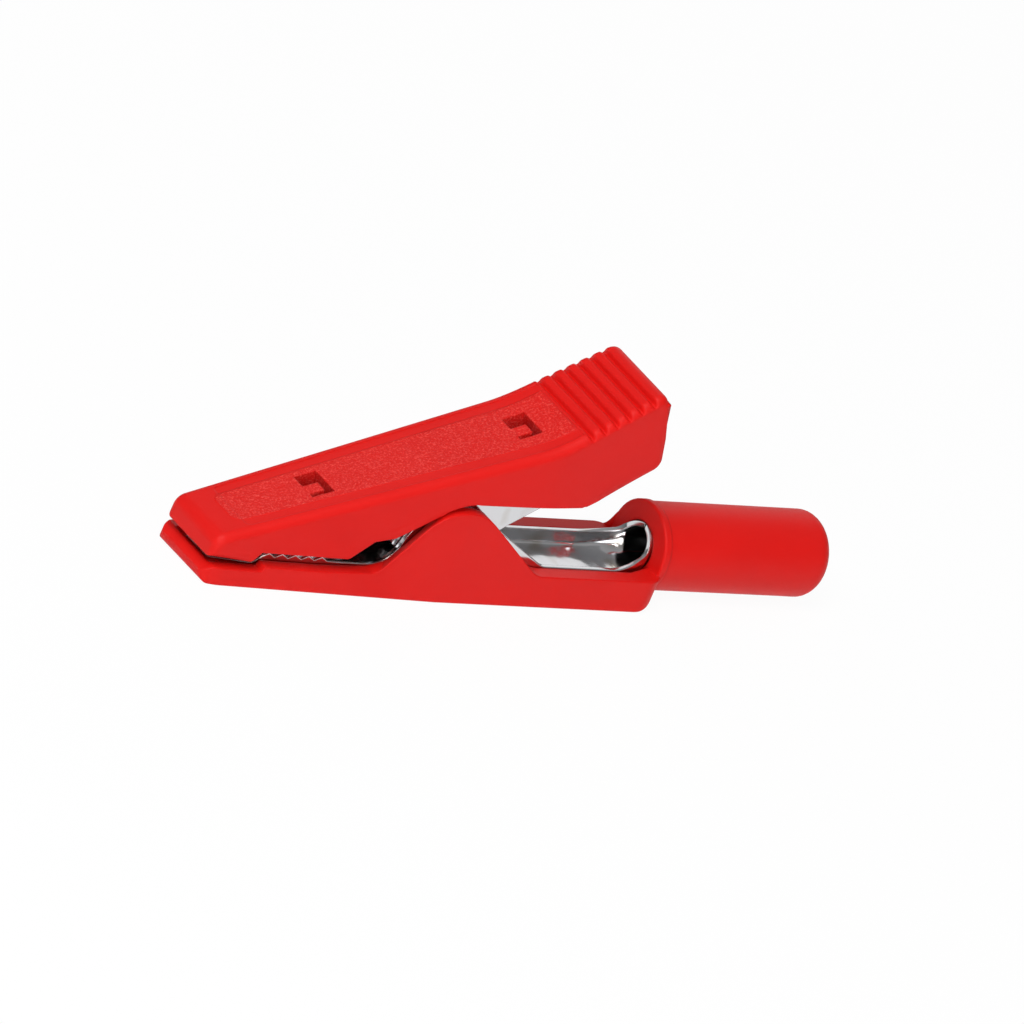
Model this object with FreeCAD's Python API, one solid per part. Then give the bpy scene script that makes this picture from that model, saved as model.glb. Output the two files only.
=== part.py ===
import FreeCAD, Part
import math

from FreeCAD import Vector

# A fully insulated miniature crocodile clip for 2 mm test plugs.
# X runs along the socket, towards the end where the plug leaves, Y across the clip and Z up.
# The origin is the centre of the socket's mouth. Each piece is drawn about the pivot axis
# (x = 0 and z = 0 there) and is moved to the socket's mouth when it is written. All sizes are mm.

# Lengths along the clip
NOSE_REACH = 15.45            # pivot to the casing's nose
COLLAR_REACH = 14.60          # pivot to the collar round the socket tube
COLLAR_LENGTH = 0.45
SLEEVE_LENGTH = 11.20         # collar to the rear end of the sleeve
SOCKET_RECESS = 0.50          # the metal tube ends this far inside the sleeve

# Sheet metal
SHEET = 0.28
PLUG_DIAMETER = 2.00
PLUG_CLEARANCE = 0.02         # radial, plug in tube
METAL_CLEARANCE = 0.05        # metal in its plastic cover
EAR_CLEARANCE = 0.05          # upper jaw's ears inside the lower jaw's ears
SEAM_GAP = 0.08               # where the rolled tube's edges meet
BEND_RADIUS = 0.20            # inside radius of the folded channels

# Lower jaw
JAW_HALF_WIDTH = 2.05         # outside, from the pivot to the socket
JAW_NOSE_HALF_WIDTH = 1.62
JAW_TIP_GAP = 0.60            # jaw tip behind the casing's nose
JAW_TAPER_START = 3.50        # in front of the pivot
FLOOR_DROP = 0.24             # channel floor below the tube's inside
CHANNEL_WALL_TOP = -0.42
JAW_WALL_TOP = -0.82
JAW_TIP_TOP = -1.40
EAR_RADIUS = 2.94
EAR_FRONT_ANGLE = 166.0       # where the ear's front edge leaves its arc
EAR_REAR_ANGLE = 62.0         # where its rear edge does
EAR_FRONT_FOOT = 1.90
EAR_REAR_FOOT = 1.10
THROAT_LENGTH = 1.90          # flat channel narrowing to a round trough
THROAT_THINNING = 0.01        # lost from each face and edge where the sheet is drawn
THROAT_LAP = 0.30             # of the drawn sheet inside the channel's and the tube's
THROAT_POINTS = 24            # round each section of the throat
THROAT_SECTIONS = 8           # along it

# Teeth
TOOTH_COUNT = 5
TOOTH_PITCH = 0.87
TOOTH_HEIGHT = 0.25
TOOTH_GAP = 0.06              # between the two rows with the jaws shut

# Casing
SLEEVE_RADIUS = 2.36
SLEEVE_DRAFT = 0.04           # less at the rear end
UNDERSIDE_DROP = 0.02         # casing's underside below the sleeve's
SLEEVE_END_ROUND = 0.95
SLEEVE_MOUTH_RADIUS = 1.22
SLEEVE_MOUTH_CHAMFER = 0.15
COLLAR_STEP = 0.09            # collar larger than the sleeve
COLLAR_CHAMFER = 0.08
TROUGH_END_MARGIN = 0.15      # each side of the tube where the trough meets the collar
CASING_HALF_WIDTH = 3.05      # at the pivot
CASING_REAR_HALF_WIDTH = 3.02
CASING_NOSE_HALF_WIDTH = 2.20
CASING_NOSE_SHOULDER = 1.10   # length of the narrowing nose tip
CASING_SHOULDER_HALF_WIDTH = 2.42
CASING_REAR_WALL_TOP = -0.47
CASING_FRONT_WALL_TOP = -0.88
CASING_TEETH_WALL_TOP = -1.03
CASING_TIP_WALL_TOP = -1.31
CASING_LIP_TOP = -1.68
CASING_EDGE_ROUND = 0.12
CASING_HEEL_ROUND = 1.30      # underside turning up at the rear end
CASING_REAR_ROUND = 1.00      # of the two upright corners at the rear end
CASING_NOSE_ROUND = 0.60      # of the nose's lower edge and of its two upright corners
CASING_STEP_LENGTH = 0.14
CHEEK_RADIUS = 3.15
CHEEK_FRONT_ANGLE = 145.0
CHEEK_REAR_ANGLE = 54.3
CHEEK_FRONT_FOOT = 0.90
CHEEK_REAR_FOOT = 1.60

# Lever
LEVER_TOP_HEIGHT = 5.70       # top face above the pivot axis
LEVER_NOSE_TOP = 0.40         # top face above the pivot axis at the lever's nose
LEVER_NOSE_GAP = 0.05         # lever's nose behind the casing's nose
LEVER_NOSE_HALF_WIDTH = 2.28
LEVER_WIDE_HALF_WIDTH = 3.00  # where the lever is widest
LEVER_WIDE_X = 4.90           # behind the pivot
LEVER_REAR_HALF_WIDTH = 2.64
LEVER_PLAN_ROUND = 25.0
LEVER_ROOF = 0.90
LEVER_REAR_WALL = 0.80
LEVER_SKIRT_TIP = -0.83
LEVER_SKIRT_TEETH = -0.24
LEVER_NOTCH_LENGTH = 0.45
LEVER_CHEEK_GAP = 0.26        # between the cheek's arc and the lever's sloping edge in front
LEVER_CHEEK_ANGLE = 127.0     # where that edge faces the pivot
LEVER_CHEEK_ROUND = 3.40
LEVER_UNDER_HEIGHT = 3.79
LEVER_ARCH_TOP = 0.92         # at the shoulder
LEVER_ARCH_REAR_TOP = 1.22
LEVER_ARCH_LENGTH = 1.2213    # shoulder to the lever's sloping edge
LEVER_EDGE_ROUND = 0.50
LEVER_NOSE_ROUND = 0.85
KNEE_X = 7.38
KNEE_ROUND = 1.00
GRIP_START = 4.15             # behind the pivot
GRIP_BLEND = 10.0             # radius between the two slopes of the top
GRIP_SLOPE = 33.0
GRIP_LENGTH = 7.00
GRIP_POCKET_START = 2.20
REAR_BOTTOM_SLOPE = 30.1
REAR_BOTTOM_X = 11.75
REAR_TOP_ROUND = 0.60
REAR_BOTTOM_ROUND = 0.80
GROOVE_COUNT = 6
GROOVE_PITCH = 0.78
GROOVE_RADIUS = 0.25
GROOVE_DEPTH = 0.20
GROOVE_END_MARGIN = 1.08      # last groove to the grip's rear end

# Latch windows in the lever's roof, each with a springy tab
WINDOW_PLACES = (-8.55, 3.55)
WINDOW_LENGTH = 1.37
WINDOW_HALF_WIDTH = 0.97
TAB_WIDTH = 0.72
TAB_SLOT = 0.30
TAB_END_GAP = 0.45
TAB_HOOK_DEPTH = 0.38
PANEL_DEPTH = 0.04
PANEL_MARGIN = 0.52

# Places along the jaws, as shares of the reach from the pivot to the nose
PANEL_PLACE = 0.870           # front end of the sunk panel
LEVER_NOTCH_PLACE = 0.789
CASING_STEP_PLACE = 0.765
TEETH_PLACE = 0.7475          # front end of the two rows
CASING_TEETH_END_PLACE = 0.510
ARCH_FRONT_PLACE = 0.419

# Upper jaw
UPPER_EAR_FRONT_ANGLE = -115.0
UPPER_REAR_SLOPE = 34.6
ARCH_STAND_BACK = 0.20        # metal arch behind the lever's arch
UPPER_NOSE_HALF_WIDTH = 1.55
UPPER_TIP_GAP = 0.75
UPPER_TIP_BOTTOM = -0.80
UPPER_EAR_RADIUS = 1.10
UPPER_EAR_FRONT = -3.35
UPPER_REAR_STEP = (3.85, 1.80)
UPPER_WEB_END = 6.20

# Rivet and spring
RIVET_RADIUS = 0.60
RIVET_RUNNING_CLEARANCE = 0.03
RIVET_HEAD_RADIUS = 0.95
RIVET_HEAD_THICKNESS = 0.22
RIVET_HEAD_CHAMFER = 0.12
WIRE_DIAMETER = 0.34
WIRE_SIDES = 6                # of the wire's section
SPRING_CLEARANCE = 0.14       # inside the coil, round the rivet
SPRING_TURNS = 5
SPRING_PITCH = 0.40
SPRING_LOWER_LEG = 5.60
SPRING_SEAT = 0.02            # left between a leg's end and the sheet that it presses on
SPRING_UPPER_LEG_ANGLE = 45.0

# Sizes that follow from the ones above
BORE_RADIUS = PLUG_DIAMETER / 2 + PLUG_CLEARANCE
TUBE_RADIUS = BORE_RADIUS + SHEET
FLOOR_TOP = -BORE_RADIUS - FLOOR_DROP
FLOOR_BOTTOM = FLOOR_TOP - SHEET
UNDERSIDE = -SLEEVE_RADIUS - UNDERSIDE_DROP
SLEEVE_START = COLLAR_REACH + COLLAR_LENGTH
SLEEVE_END = SLEEVE_START + SLEEVE_LENGTH
MOUTH_X = SLEEVE_END - SOCKET_RECESS
CHANNEL_END = COLLAR_REACH - THROAT_LENGTH
UPPER_HALF_WIDTH = JAW_HALF_WIDTH - SHEET - EAR_CLEARANCE
LEVER_NOSE_REACH = NOSE_REACH - LEVER_NOSE_GAP
LEVER_SLOPE = math.degrees(math.atan2(LEVER_TOP_HEIGHT - LEVER_NOSE_TOP, LEVER_NOSE_REACH))
ROOF_DROP = 1 / math.cos(math.radians(LEVER_SLOPE))
TEETH_FRONT = -TEETH_PLACE * NOSE_REACH
CASING_STEP = -CASING_STEP_PLACE * NOSE_REACH
CASING_TEETH_END = -CASING_TEETH_END_PLACE * NOSE_REACH
LEVER_NOTCH = -LEVER_NOTCH_PLACE * NOSE_REACH
LEVER_ARCH_FRONT = -ARCH_FRONT_PLACE * NOSE_REACH
PANEL_FRONT = -PANEL_PLACE * NOSE_REACH
FAR = 40.0                    # beyond the clip on every side
TINY = 1e-3


def rounded(corners, place):
    """Closed face through the corners (a, b, radius), each rounded by a tangent arc."""
    ends = []
    count = len(corners)
    for index, (a, b, radius) in enumerate(corners):
        corner = Vector(a, b, 0)
        last = corners[index - 1]
        following = corners[(index + 1) % count]
        back = (Vector(last[0], last[1], 0) - corner).normalize()
        ahead = (Vector(following[0], following[1], 0) - corner).normalize()
        if radius == 0:
            ends.append((corner, None, corner))
            continue
        half = back.getAngle(ahead) / 2
        reach = radius / math.tan(half)
        middle = (back + ahead).normalize() * (radius / math.sin(half) - radius)
        ends.append((corner + back * reach, corner + middle, corner + ahead * reach))
    edges = []
    for index, (start, middle, end) in enumerate(ends):
        if middle is not None:
            edges.append(Part.Arc(place(start), place(middle), place(end)).toShape())
        following = ends[(index + 1) % count][0]
        if (following - end).Length > 1e-6:
            edges.append(Part.LineSegment(place(end), place(following)).toShape())
    return Part.Face(Part.Wire(edges))


def side_prism(corners, low, high):
    """Solid with the side view given by corners (x, z, radius), from y = low to y = high."""
    face = rounded(corners, lambda p: Vector(p.x, low, p.y))
    return face.extrude(Vector(0, high - low, 0))


def plan_prism(half, low, high):
    """Solid with the plan given by one half's corners (x, y, radius), from z = low to high."""
    corners = list(half) + [(x, -y, radius) for x, y, radius in reversed(half)]
    face = rounded(corners, lambda p: Vector(p.x, p.y, low))
    return face.extrude(Vector(0, 0, high - low))


def box(low, high):
    """Box between two corners."""
    size = [b - a for a, b in zip(low, high)]
    return Part.makeBox(*size, Vector(*low))


def rod(radius, start, end):
    """Round rod from start to end."""
    along = end - start
    return Part.makeCylinder(radius, along.Length, start, along)


def tangent_corner(radius, first, second):
    """Corner where the tangents at two angles of a circle about the pivot meet."""
    middle = math.radians((first + second) / 2)
    reach = radius / math.cos(math.radians((first - second) / 2))
    return reach * math.cos(middle), reach * math.sin(middle)


def tangent_x(radius, angle, height):
    """Where the tangent at an angle of a circle about the pivot crosses a height."""
    turn = math.radians(angle)
    return (radius - height * math.sin(turn)) / math.cos(turn)


def arch_shoulder():
    """Where the arch's steep front part ends, in front of the lever's sloping edge."""
    rear = tangent_x(CHEEK_RADIUS + LEVER_CHEEK_GAP, LEVER_CHEEK_ANGLE, LEVER_ARCH_REAR_TOP)
    return rear - LEVER_ARCH_LENGTH


def line_at(x, half_width, nose_x, nose_half_width, start_x):
    """Half-width of a piece that narrows evenly from start_x to nose_x."""
    share = (start_x - x) / (start_x - nose_x)
    return half_width + (nose_half_width - half_width) * max(0.0, share)


def edges_along(shape, test):
    """Edges whose two ends and middle all pass the test."""
    chosen = []
    for edge in shape.Edges:
        first, last = edge.ParameterRange
        points = [edge.valueAt(first + (last - first) * share) for share in (0.02, 0.5, 0.98)]
        if all(test(point) for point in points):
            chosen.append(edge)
    return chosen


def lever_top(x):
    """Height of the lever's top face."""
    return LEVER_TOP_HEIGHT + x * math.tan(math.radians(LEVER_SLOPE))


def teeth(front, root, height):
    """Side-view corners of the toothed edge, from its front end to its rear end."""
    corners = []
    for index in range(TOOTH_COUNT):
        start = front + index * TOOTH_PITCH
        corners.append((start, root, 0))
        corners.append((start + TOOTH_PITCH / 2, root + height, 0))
    corners.append((front + TOOTH_COUNT * TOOTH_PITCH, root, 0))
    return corners


# Plans of the metal channels: (x, y, radius) along one side
JAW_NOSE_X = -NOSE_REACH + JAW_TIP_GAP
UPPER_NOSE_X = -LEVER_NOSE_REACH + UPPER_TIP_GAP


def lower_plan(grow, front, rear):
    """Plan of the lower jaw's outside, or of a body larger by grow."""
    start = -JAW_TAPER_START
    tip = line_at(front, JAW_HALF_WIDTH, JAW_NOSE_X, JAW_NOSE_HALF_WIDTH, start)
    return [(front, tip + grow, 0), (start, JAW_HALF_WIDTH + grow, 0), (rear, JAW_HALF_WIDTH + grow, 0)]


def upper_plan(grow, front, rear):
    """Plan of the upper jaw's outside, or of a body larger by grow."""
    start = -JAW_TAPER_START
    tip = line_at(front, UPPER_HALF_WIDTH, UPPER_NOSE_X, UPPER_NOSE_HALF_WIDTH, start)
    return [(front, tip + grow, 0), (start, UPPER_HALF_WIDTH + grow, 0), (rear, UPPER_HALF_WIDTH + grow, 0)]


# Lower jaw: a toothed channel with two ears, rolled into the plug's tube at its rear
def channel_place(run, total):
    """Point (y, z) and outward angle on the folded channel's outside, run from the -Y wall's top."""
    bend = BEND_RADIUS + SHEET
    wall = CHANNEL_WALL_TOP - FLOOR_BOTTOM - bend
    middle_y = JAW_HALF_WIDTH - bend
    middle_z = FLOOR_BOTTOM + bend
    if run > total / 2:
        y, z, lean = channel_place(total - run, total)
        return -y, z, 3 * math.pi - lean
    if run < wall:
        return -JAW_HALF_WIDTH, CHANNEL_WALL_TOP - run, math.pi
    turn = (run - wall) / bend
    if turn < math.pi / 2:
        lean = math.pi + turn
        return bend * math.cos(lean) - middle_y, middle_z + bend * math.sin(lean), lean
    return run - total / 2, FLOOR_BOTTOM, 1.5 * math.pi


def throat_section(x, closing):
    """Band of drawn sheet between the channel's section (closing 0) and a trough (closing 1)."""
    bend = BEND_RADIUS + SHEET
    wall = CHANNEL_WALL_TOP - FLOOR_BOTTOM - bend
    total = 2 * wall + bend * math.pi + 2 * (JAW_HALF_WIDTH - bend)
    lift = math.asin(-CHANNEL_WALL_TOP / TUBE_RADIUS)
    outside = []
    inside = []
    for index in range(THROAT_POINTS + 1):
        share = index / THROAT_POINTS
        run = THROAT_THINNING + share * (total - 2 * THROAT_THINNING)
        y, z, lean = channel_place(run, total)
        round_lean = math.pi + lift + share * (math.pi - 2 * lift)
        y += closing * (TUBE_RADIUS * math.cos(round_lean) - y)
        z += closing * (TUBE_RADIUS * math.sin(round_lean) - z)
        lean += closing * (round_lean - lean)
        out = Vector(0, math.cos(lean), math.sin(lean))
        outside.append(Vector(x, y, z) - out * THROAT_THINNING)
        inside.append(Vector(x, y, z) - out * (SHEET - THROAT_THINNING))
    outer = Part.BSplineCurve()
    outer.interpolate(outside)
    inner = Part.BSplineCurve()
    inner.interpolate(inside[::-1])
    ends = [Part.LineSegment(outside[-1], inside[-1]), Part.LineSegment(inside[0], outside[0])]
    return Part.Wire([outer.toShape(), ends[0].toShape(), inner.toShape(), ends[1].toShape()])


def make_lower_jaw():
    """Toothed U-channel with pivot ears, throat and rolled plug tube, from one sheet."""
    top = EAR_RADIUS + 1.0
    outside = plan_prism(lower_plan(0, JAW_NOSE_X, CHANNEL_END), FLOOR_BOTTOM, top)
    long_edges = edges_along(outside, lambda p: abs(p.z - FLOOR_BOTTOM) < 1e-6 and abs(p.y) > 1.0)
    outside = outside.makeFillet(BEND_RADIUS + SHEET, long_edges)
    inside = plan_prism(lower_plan(-SHEET, JAW_NOSE_X - 1.0, CHANNEL_END + 1.0), FLOOR_TOP, top + 1.0)
    long_edges = edges_along(inside, lambda p: abs(p.z - FLOOR_TOP) < 1e-6 and abs(p.y) > 1.0)
    inside = inside.makeFillet(BEND_RADIUS, long_edges)
    channel = outside.cut(inside)

    ear_x, ear_z = tangent_corner(EAR_RADIUS, EAR_FRONT_ANGLE, EAR_REAR_ANGLE)
    front_x = tangent_x(EAR_RADIUS, EAR_FRONT_ANGLE, JAW_WALL_TOP)
    foot_x = tangent_x(EAR_RADIUS, EAR_REAR_ANGLE, CHANNEL_WALL_TOP)
    side = [(JAW_NOSE_X - 1.0, FLOOR_BOTTOM - 1.0, 0), (JAW_NOSE_X - 1.0, JAW_TIP_TOP, 0)]
    side.append((TEETH_FRONT - TOOTH_PITCH / 4, JAW_TIP_TOP, 0))
    side += teeth(TEETH_FRONT, JAW_WALL_TOP, TOOTH_HEIGHT)
    side += [
        (front_x, JAW_WALL_TOP, EAR_FRONT_FOOT),
        (ear_x, ear_z, EAR_RADIUS),
        (foot_x, CHANNEL_WALL_TOP, EAR_REAR_FOOT),
        (CHANNEL_END + 1.0, CHANNEL_WALL_TOP, 0),
        (CHANNEL_END + 1.0, FLOOR_BOTTOM - 1.0, 0),
    ]
    channel = channel.common(side_prism(side, -FAR, FAR))
    hole = rod(RIVET_RADIUS, Vector(0, -FAR, 0), Vector(0, FAR, 0))
    channel = channel.cut(hole)

    sections = [throat_section(CHANNEL_END - THROAT_LAP, 0.0)]
    for index in range(THROAT_SECTIONS + 1):
        share = index / THROAT_SECTIONS
        x = CHANNEL_END + THROAT_LENGTH * share
        sections.append(throat_section(x, share * share * (3 - 2 * share)))
    sections.append(throat_section(COLLAR_REACH + THROAT_LAP, 1.0))
    throat = Part.makeLoft(sections, True, True)

    tube = rod(TUBE_RADIUS, Vector(COLLAR_REACH, 0, 0), Vector(MOUTH_X, 0, 0))
    tube = tube.cut(rod(BORE_RADIUS, Vector(COLLAR_REACH - 1, 0, 0), Vector(MOUTH_X + 1, 0, 0)))
    seam = box((COLLAR_REACH - 1, -SEAM_GAP / 2, 0), (MOUTH_X + 1, SEAM_GAP / 2, 2 * TUBE_RADIUS))
    tube = tube.cut(seam)
    return channel.fuse([throat, tube])


# Upper jaw: the toothed channel upside down, its ears between the lower jaw's ears
def web_under(x, depth):
    """Height of the plane that lies depth below the lever's top face."""
    return lever_top(x) - depth * ROOF_DROP


def blend_corner(depth):
    """Corner (x, z) of the lever's two top planes, depth under them."""
    half_turn = math.radians(GRIP_SLOPE - LEVER_SLOPE) / 2
    middle = math.radians(GRIP_SLOPE + LEVER_SLOPE) / 2
    drop = depth / math.cos(half_turn)
    return GRIP_START + drop * math.sin(middle), lever_top(GRIP_START) - drop * math.cos(middle)


def lever_surface(x):
    """Height and slope in degrees of the lever's top face at x, in front of the grip's grooves."""
    front = math.radians(LEVER_SLOPE)
    reach = GRIP_BLEND * math.tan(math.radians(GRIP_SLOPE - LEVER_SLOPE) / 2)
    start_x = GRIP_START - reach * math.cos(front)
    if x < start_x:
        return lever_top(x), LEVER_SLOPE
    middle_x = start_x - GRIP_BLEND * math.sin(front)
    middle_z = lever_top(start_x) + GRIP_BLEND * math.cos(front)
    slope = math.asin((x - middle_x) / GRIP_BLEND)
    return middle_z - GRIP_BLEND * math.cos(slope), math.degrees(slope)


def on_roof(shape, x):
    """Shape drawn about the origin, laid on the lever's top face at x."""
    height, slope = lever_surface(x)
    shape = shape.copy()
    shape.rotate(Vector(0, 0, 0), Vector(0, 1, 0), -slope)
    shape.translate(Vector(x, 0, height))
    return shape


def channel_body(grow, depth, front, rear):
    """Inside or outside of the upper jaw's channel, its top depth below the lever's top face."""
    side = [
        (front, -FAR, 0),
        (front, web_under(front, depth), 0),
        (rear, web_under(rear, depth), 0),
        (rear, -FAR, 0),
    ]
    body = side_prism(side, -FAR, FAR).common(plan_prism(upper_plan(grow, front, rear), -FAR, FAR))
    edges = edges_along(body, lambda p: abs(p.z - web_under(p.x, depth)) < 1e-4 and abs(p.y) > 0.8)
    return body, [edge for edge in edges if abs(edge.Vertexes[0].X - edge.Vertexes[-1].X) > 1.0]


def make_upper_jaw():
    """Toothed channel with ears, cut out under the lever's two latch windows."""
    web_depth = LEVER_ROOF + METAL_CLEARANCE
    body, edges = channel_body(0, web_depth, UPPER_NOSE_X, UPPER_WEB_END)
    body = body.makeFillet(BEND_RADIUS + SHEET, edges)
    inside, edges = channel_body(-SHEET, web_depth + SHEET, UPPER_NOSE_X - 1.0, UPPER_WEB_END + 1.0)
    body = body.cut(inside.makeFillet(BEND_RADIUS, edges))

    step_x, step_z = UPPER_REAR_STEP
    reach = math.hypot(step_x, step_z)
    rear_angle = math.degrees(math.atan2(step_z, step_x) - math.acos(UPPER_EAR_RADIUS / reach))
    ear_x, ear_z = tangent_corner(UPPER_EAR_RADIUS, UPPER_EAR_FRONT_ANGLE, rear_angle)
    turn = math.radians(UPPER_EAR_FRONT_ANGLE)
    ear_front_z = (UPPER_EAR_RADIUS - UPPER_EAR_FRONT * math.cos(turn)) / math.sin(turn)
    arch_top = LEVER_ARCH_REAR_TOP + ARCH_STAND_BACK
    arch_front = TEETH_FRONT + TOOTH_COUNT * TOOTH_PITCH
    side = [(UPPER_NOSE_X - 1.0, FAR, 0), (UPPER_NOSE_X - 1.0, UPPER_TIP_BOTTOM, 0)]
    side.append((TEETH_FRONT - TOOTH_PITCH / 4, UPPER_TIP_BOTTOM, 0))
    side += teeth(TEETH_FRONT, JAW_WALL_TOP + TOOTH_GAP, TOOTH_HEIGHT)
    side += [
        (arch_front, LEVER_SKIRT_TEETH + ARCH_STAND_BACK, 0),
        (arch_shoulder(), arch_top, 0.5),
        (UPPER_EAR_FRONT, arch_top, 0.1),
        (UPPER_EAR_FRONT, ear_front_z, 0.3),
        (ear_x, ear_z, UPPER_EAR_RADIUS),
        (step_x, step_z, 0.3),
        (UPPER_WEB_END, step_z + (UPPER_WEB_END - step_x) * math.tan(math.radians(UPPER_REAR_SLOPE)), 0.3),
        (UPPER_WEB_END, FAR, 0),
    ]
    body = body.common(side_prism(side, -FAR, FAR))
    hole_radius = RIVET_RADIUS + RIVET_RUNNING_CLEARANCE
    body = body.cut(rod(hole_radius, Vector(0, -FAR, 0), Vector(0, FAR, 0)))
    long_half = WINDOW_LENGTH / 2 + METAL_CLEARANCE
    wide_half = WINDOW_HALF_WIDTH + METAL_CLEARANCE
    for place in WINDOW_PLACES:
        hole = box((-long_half, -wide_half, -2 * LEVER_ROOF), (long_half, wide_half, 0))
        body = body.cut(on_roof(hole, place))
    return body


# Lever: the insulating upper shell with its ribbed thumb grip
def lever_plan():
    """Plan of the lever's outside."""
    return [
        (-LEVER_NOSE_REACH, LEVER_NOSE_HALF_WIDTH, 0),
        (LEVER_WIDE_X, LEVER_WIDE_HALF_WIDTH, LEVER_PLAN_ROUND),
        (REAR_BOTTOM_X, LEVER_REAR_HALF_WIDTH, 0),
    ]


def lever_half_width(x):
    """Half-width of the lever at x."""
    if x < LEVER_WIDE_X:
        return line_at(x, LEVER_WIDE_HALF_WIDTH, -LEVER_NOSE_REACH, LEVER_NOSE_HALF_WIDTH, LEVER_WIDE_X)
    return line_at(-x, LEVER_WIDE_HALF_WIDTH, -REAR_BOTTOM_X, LEVER_REAR_HALF_WIDTH, -LEVER_WIDE_X)


def grip_point(along, depth=0.0):
    """Point (x, z) on the thumb grip's face, along it and depth under it."""
    turn = math.radians(GRIP_SLOPE)
    x = GRIP_START + along * math.cos(turn) + depth * math.sin(turn)
    return x, lever_top(GRIP_START) + along * math.sin(turn) - depth * math.cos(turn)


def make_upper_shell():
    """Hollow lever: tapered shell, skirt with arch and cheek arc, grip grooves, windows and tabs."""
    rear_x, rear_z = grip_point(GRIP_LENGTH)
    under = math.tan(math.radians(REAR_BOTTOM_SLOPE))
    bottom_z = LEVER_UNDER_HEIGHT + (REAR_BOTTOM_X - KNEE_X) * under
    gap = CHEEK_RADIUS + LEVER_CHEEK_GAP
    side = [
        (-LEVER_NOSE_REACH, LEVER_SKIRT_TIP, 0),
        (-LEVER_NOSE_REACH, lever_top(-LEVER_NOSE_REACH), LEVER_NOSE_ROUND),
        (GRIP_START, lever_top(GRIP_START), GRIP_BLEND),
        (rear_x, rear_z, REAR_TOP_ROUND),
        (REAR_BOTTOM_X, bottom_z, REAR_BOTTOM_ROUND),
        (KNEE_X, LEVER_UNDER_HEIGHT, KNEE_ROUND),
        (tangent_x(gap, LEVER_CHEEK_ANGLE, LEVER_UNDER_HEIGHT), LEVER_UNDER_HEIGHT, LEVER_CHEEK_ROUND),
        (tangent_x(gap, LEVER_CHEEK_ANGLE, LEVER_ARCH_REAR_TOP), LEVER_ARCH_REAR_TOP, 0.10),
        (arch_shoulder(), LEVER_ARCH_TOP, 0.60),
        (LEVER_ARCH_FRONT, LEVER_SKIRT_TEETH, 0.30),
        (LEVER_NOTCH, LEVER_SKIRT_TEETH, 0.12),
        (LEVER_NOTCH - LEVER_NOTCH_LENGTH, LEVER_SKIRT_TIP, 0.20),
    ]
    shell = side_prism(side, -FAR, FAR).common(plan_prism(lever_plan(), -FAR, FAR))

    def on_rim(p):
        """True on the rims between the sides and the lever's nose, top and rear."""
        on_side = lever_half_width(p.x) - abs(p.y) < TINY
        over_nose = p.x < TINY - LEVER_NOSE_REACH
        over_rear = p.x > GRIP_START and p.z > bottom_z + REAR_BOTTOM_ROUND
        over_top = p.z > web_under(p.x, LEVER_NOSE_ROUND)
        return on_side and (over_nose or over_rear or over_top)

    shell = shell.makeFillet(LEVER_EDGE_ROUND, edges_along(shell, on_rim))

    depth = LEVER_ROOF
    front = UPPER_NOSE_X - METAL_CLEARANCE
    rear = UPPER_WEB_END + METAL_CLEARANCE
    pocket_front = grip_point(GRIP_POCKET_START, depth)
    pocket_rear = grip_point(GRIP_LENGTH - LEVER_REAR_WALL, depth)
    cavity = [
        (front, -FAR, 0),
        (front, web_under(front, depth), 0),
        (rear, web_under(rear, depth), 0),
        (pocket_front[0], pocket_front[1], 0),
        (pocket_rear[0], pocket_rear[1], 0.3),
        (REAR_BOTTOM_X - LEVER_REAR_WALL, bottom_z, 0),
        (REAR_BOTTOM_X - LEVER_REAR_WALL, -FAR, 0),
    ]
    plan = upper_plan(METAL_CLEARANCE, front, FAR)
    shell = shell.cut(side_prism(cavity, -FAR, FAR).common(plan_prism(plan, -FAR, FAR)))

    first = GRIP_LENGTH - GROOVE_END_MARGIN - (GROOVE_COUNT - 1) * GROOVE_PITCH
    for index in range(GROOVE_COUNT):
        x, z = grip_point(first + index * GROOVE_PITCH, GROOVE_DEPTH - GROOVE_RADIUS)
        shell = shell.cut(rod(GROOVE_RADIUS, Vector(x, -FAR, z), Vector(x, FAR, z)))

    end_x, end_z = grip_point(first - GROOVE_RADIUS, PANEL_DEPTH)
    panel = [
        (PANEL_FRONT, lever_half_width(PANEL_FRONT) - PANEL_MARGIN, 0.35),
        (LEVER_WIDE_X, LEVER_WIDE_HALF_WIDTH - PANEL_MARGIN, LEVER_PLAN_ROUND),
        (REAR_BOTTOM_X, LEVER_REAR_HALF_WIDTH - PANEL_MARGIN, 0),
    ]
    sunk = [
        (PANEL_FRONT, web_under(PANEL_FRONT, PANEL_DEPTH), 0),
        (*blend_corner(PANEL_DEPTH), GRIP_BLEND + PANEL_DEPTH),
        (end_x, end_z, 0),
        (end_x, FAR, 0),
        (PANEL_FRONT, FAR, 0),
    ]
    shell = shell.cut(side_prism(sunk, -FAR, FAR).common(plan_prism(panel, -FAR, FAR)))

    half = WINDOW_LENGTH / 2
    tab_low = -WINDOW_HALF_WIDTH + TAB_SLOT
    tab_high = tab_low + TAB_WIDTH
    tab_end = half - TAB_END_GAP
    for place in WINDOW_PLACES:
        window = box((-half, -WINDOW_HALF_WIDTH, -2 * LEVER_ROOF), (half, WINDOW_HALF_WIDTH, LEVER_ROOF))
        shell = shell.cut(on_roof(window, place))
        tab = box((-half - SHEET, tab_low, -LEVER_ROOF), (tab_end, tab_high, -PANEL_DEPTH))
        nib = box((tab_end - TAB_HOOK_DEPTH, tab_low, -LEVER_ROOF - TAB_HOOK_DEPTH),
                  (tab_end, tab_high, -PANEL_DEPTH))
        shell = shell.fuse([on_roof(tab, place), on_roof(nib, place)])
    return shell


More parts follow.
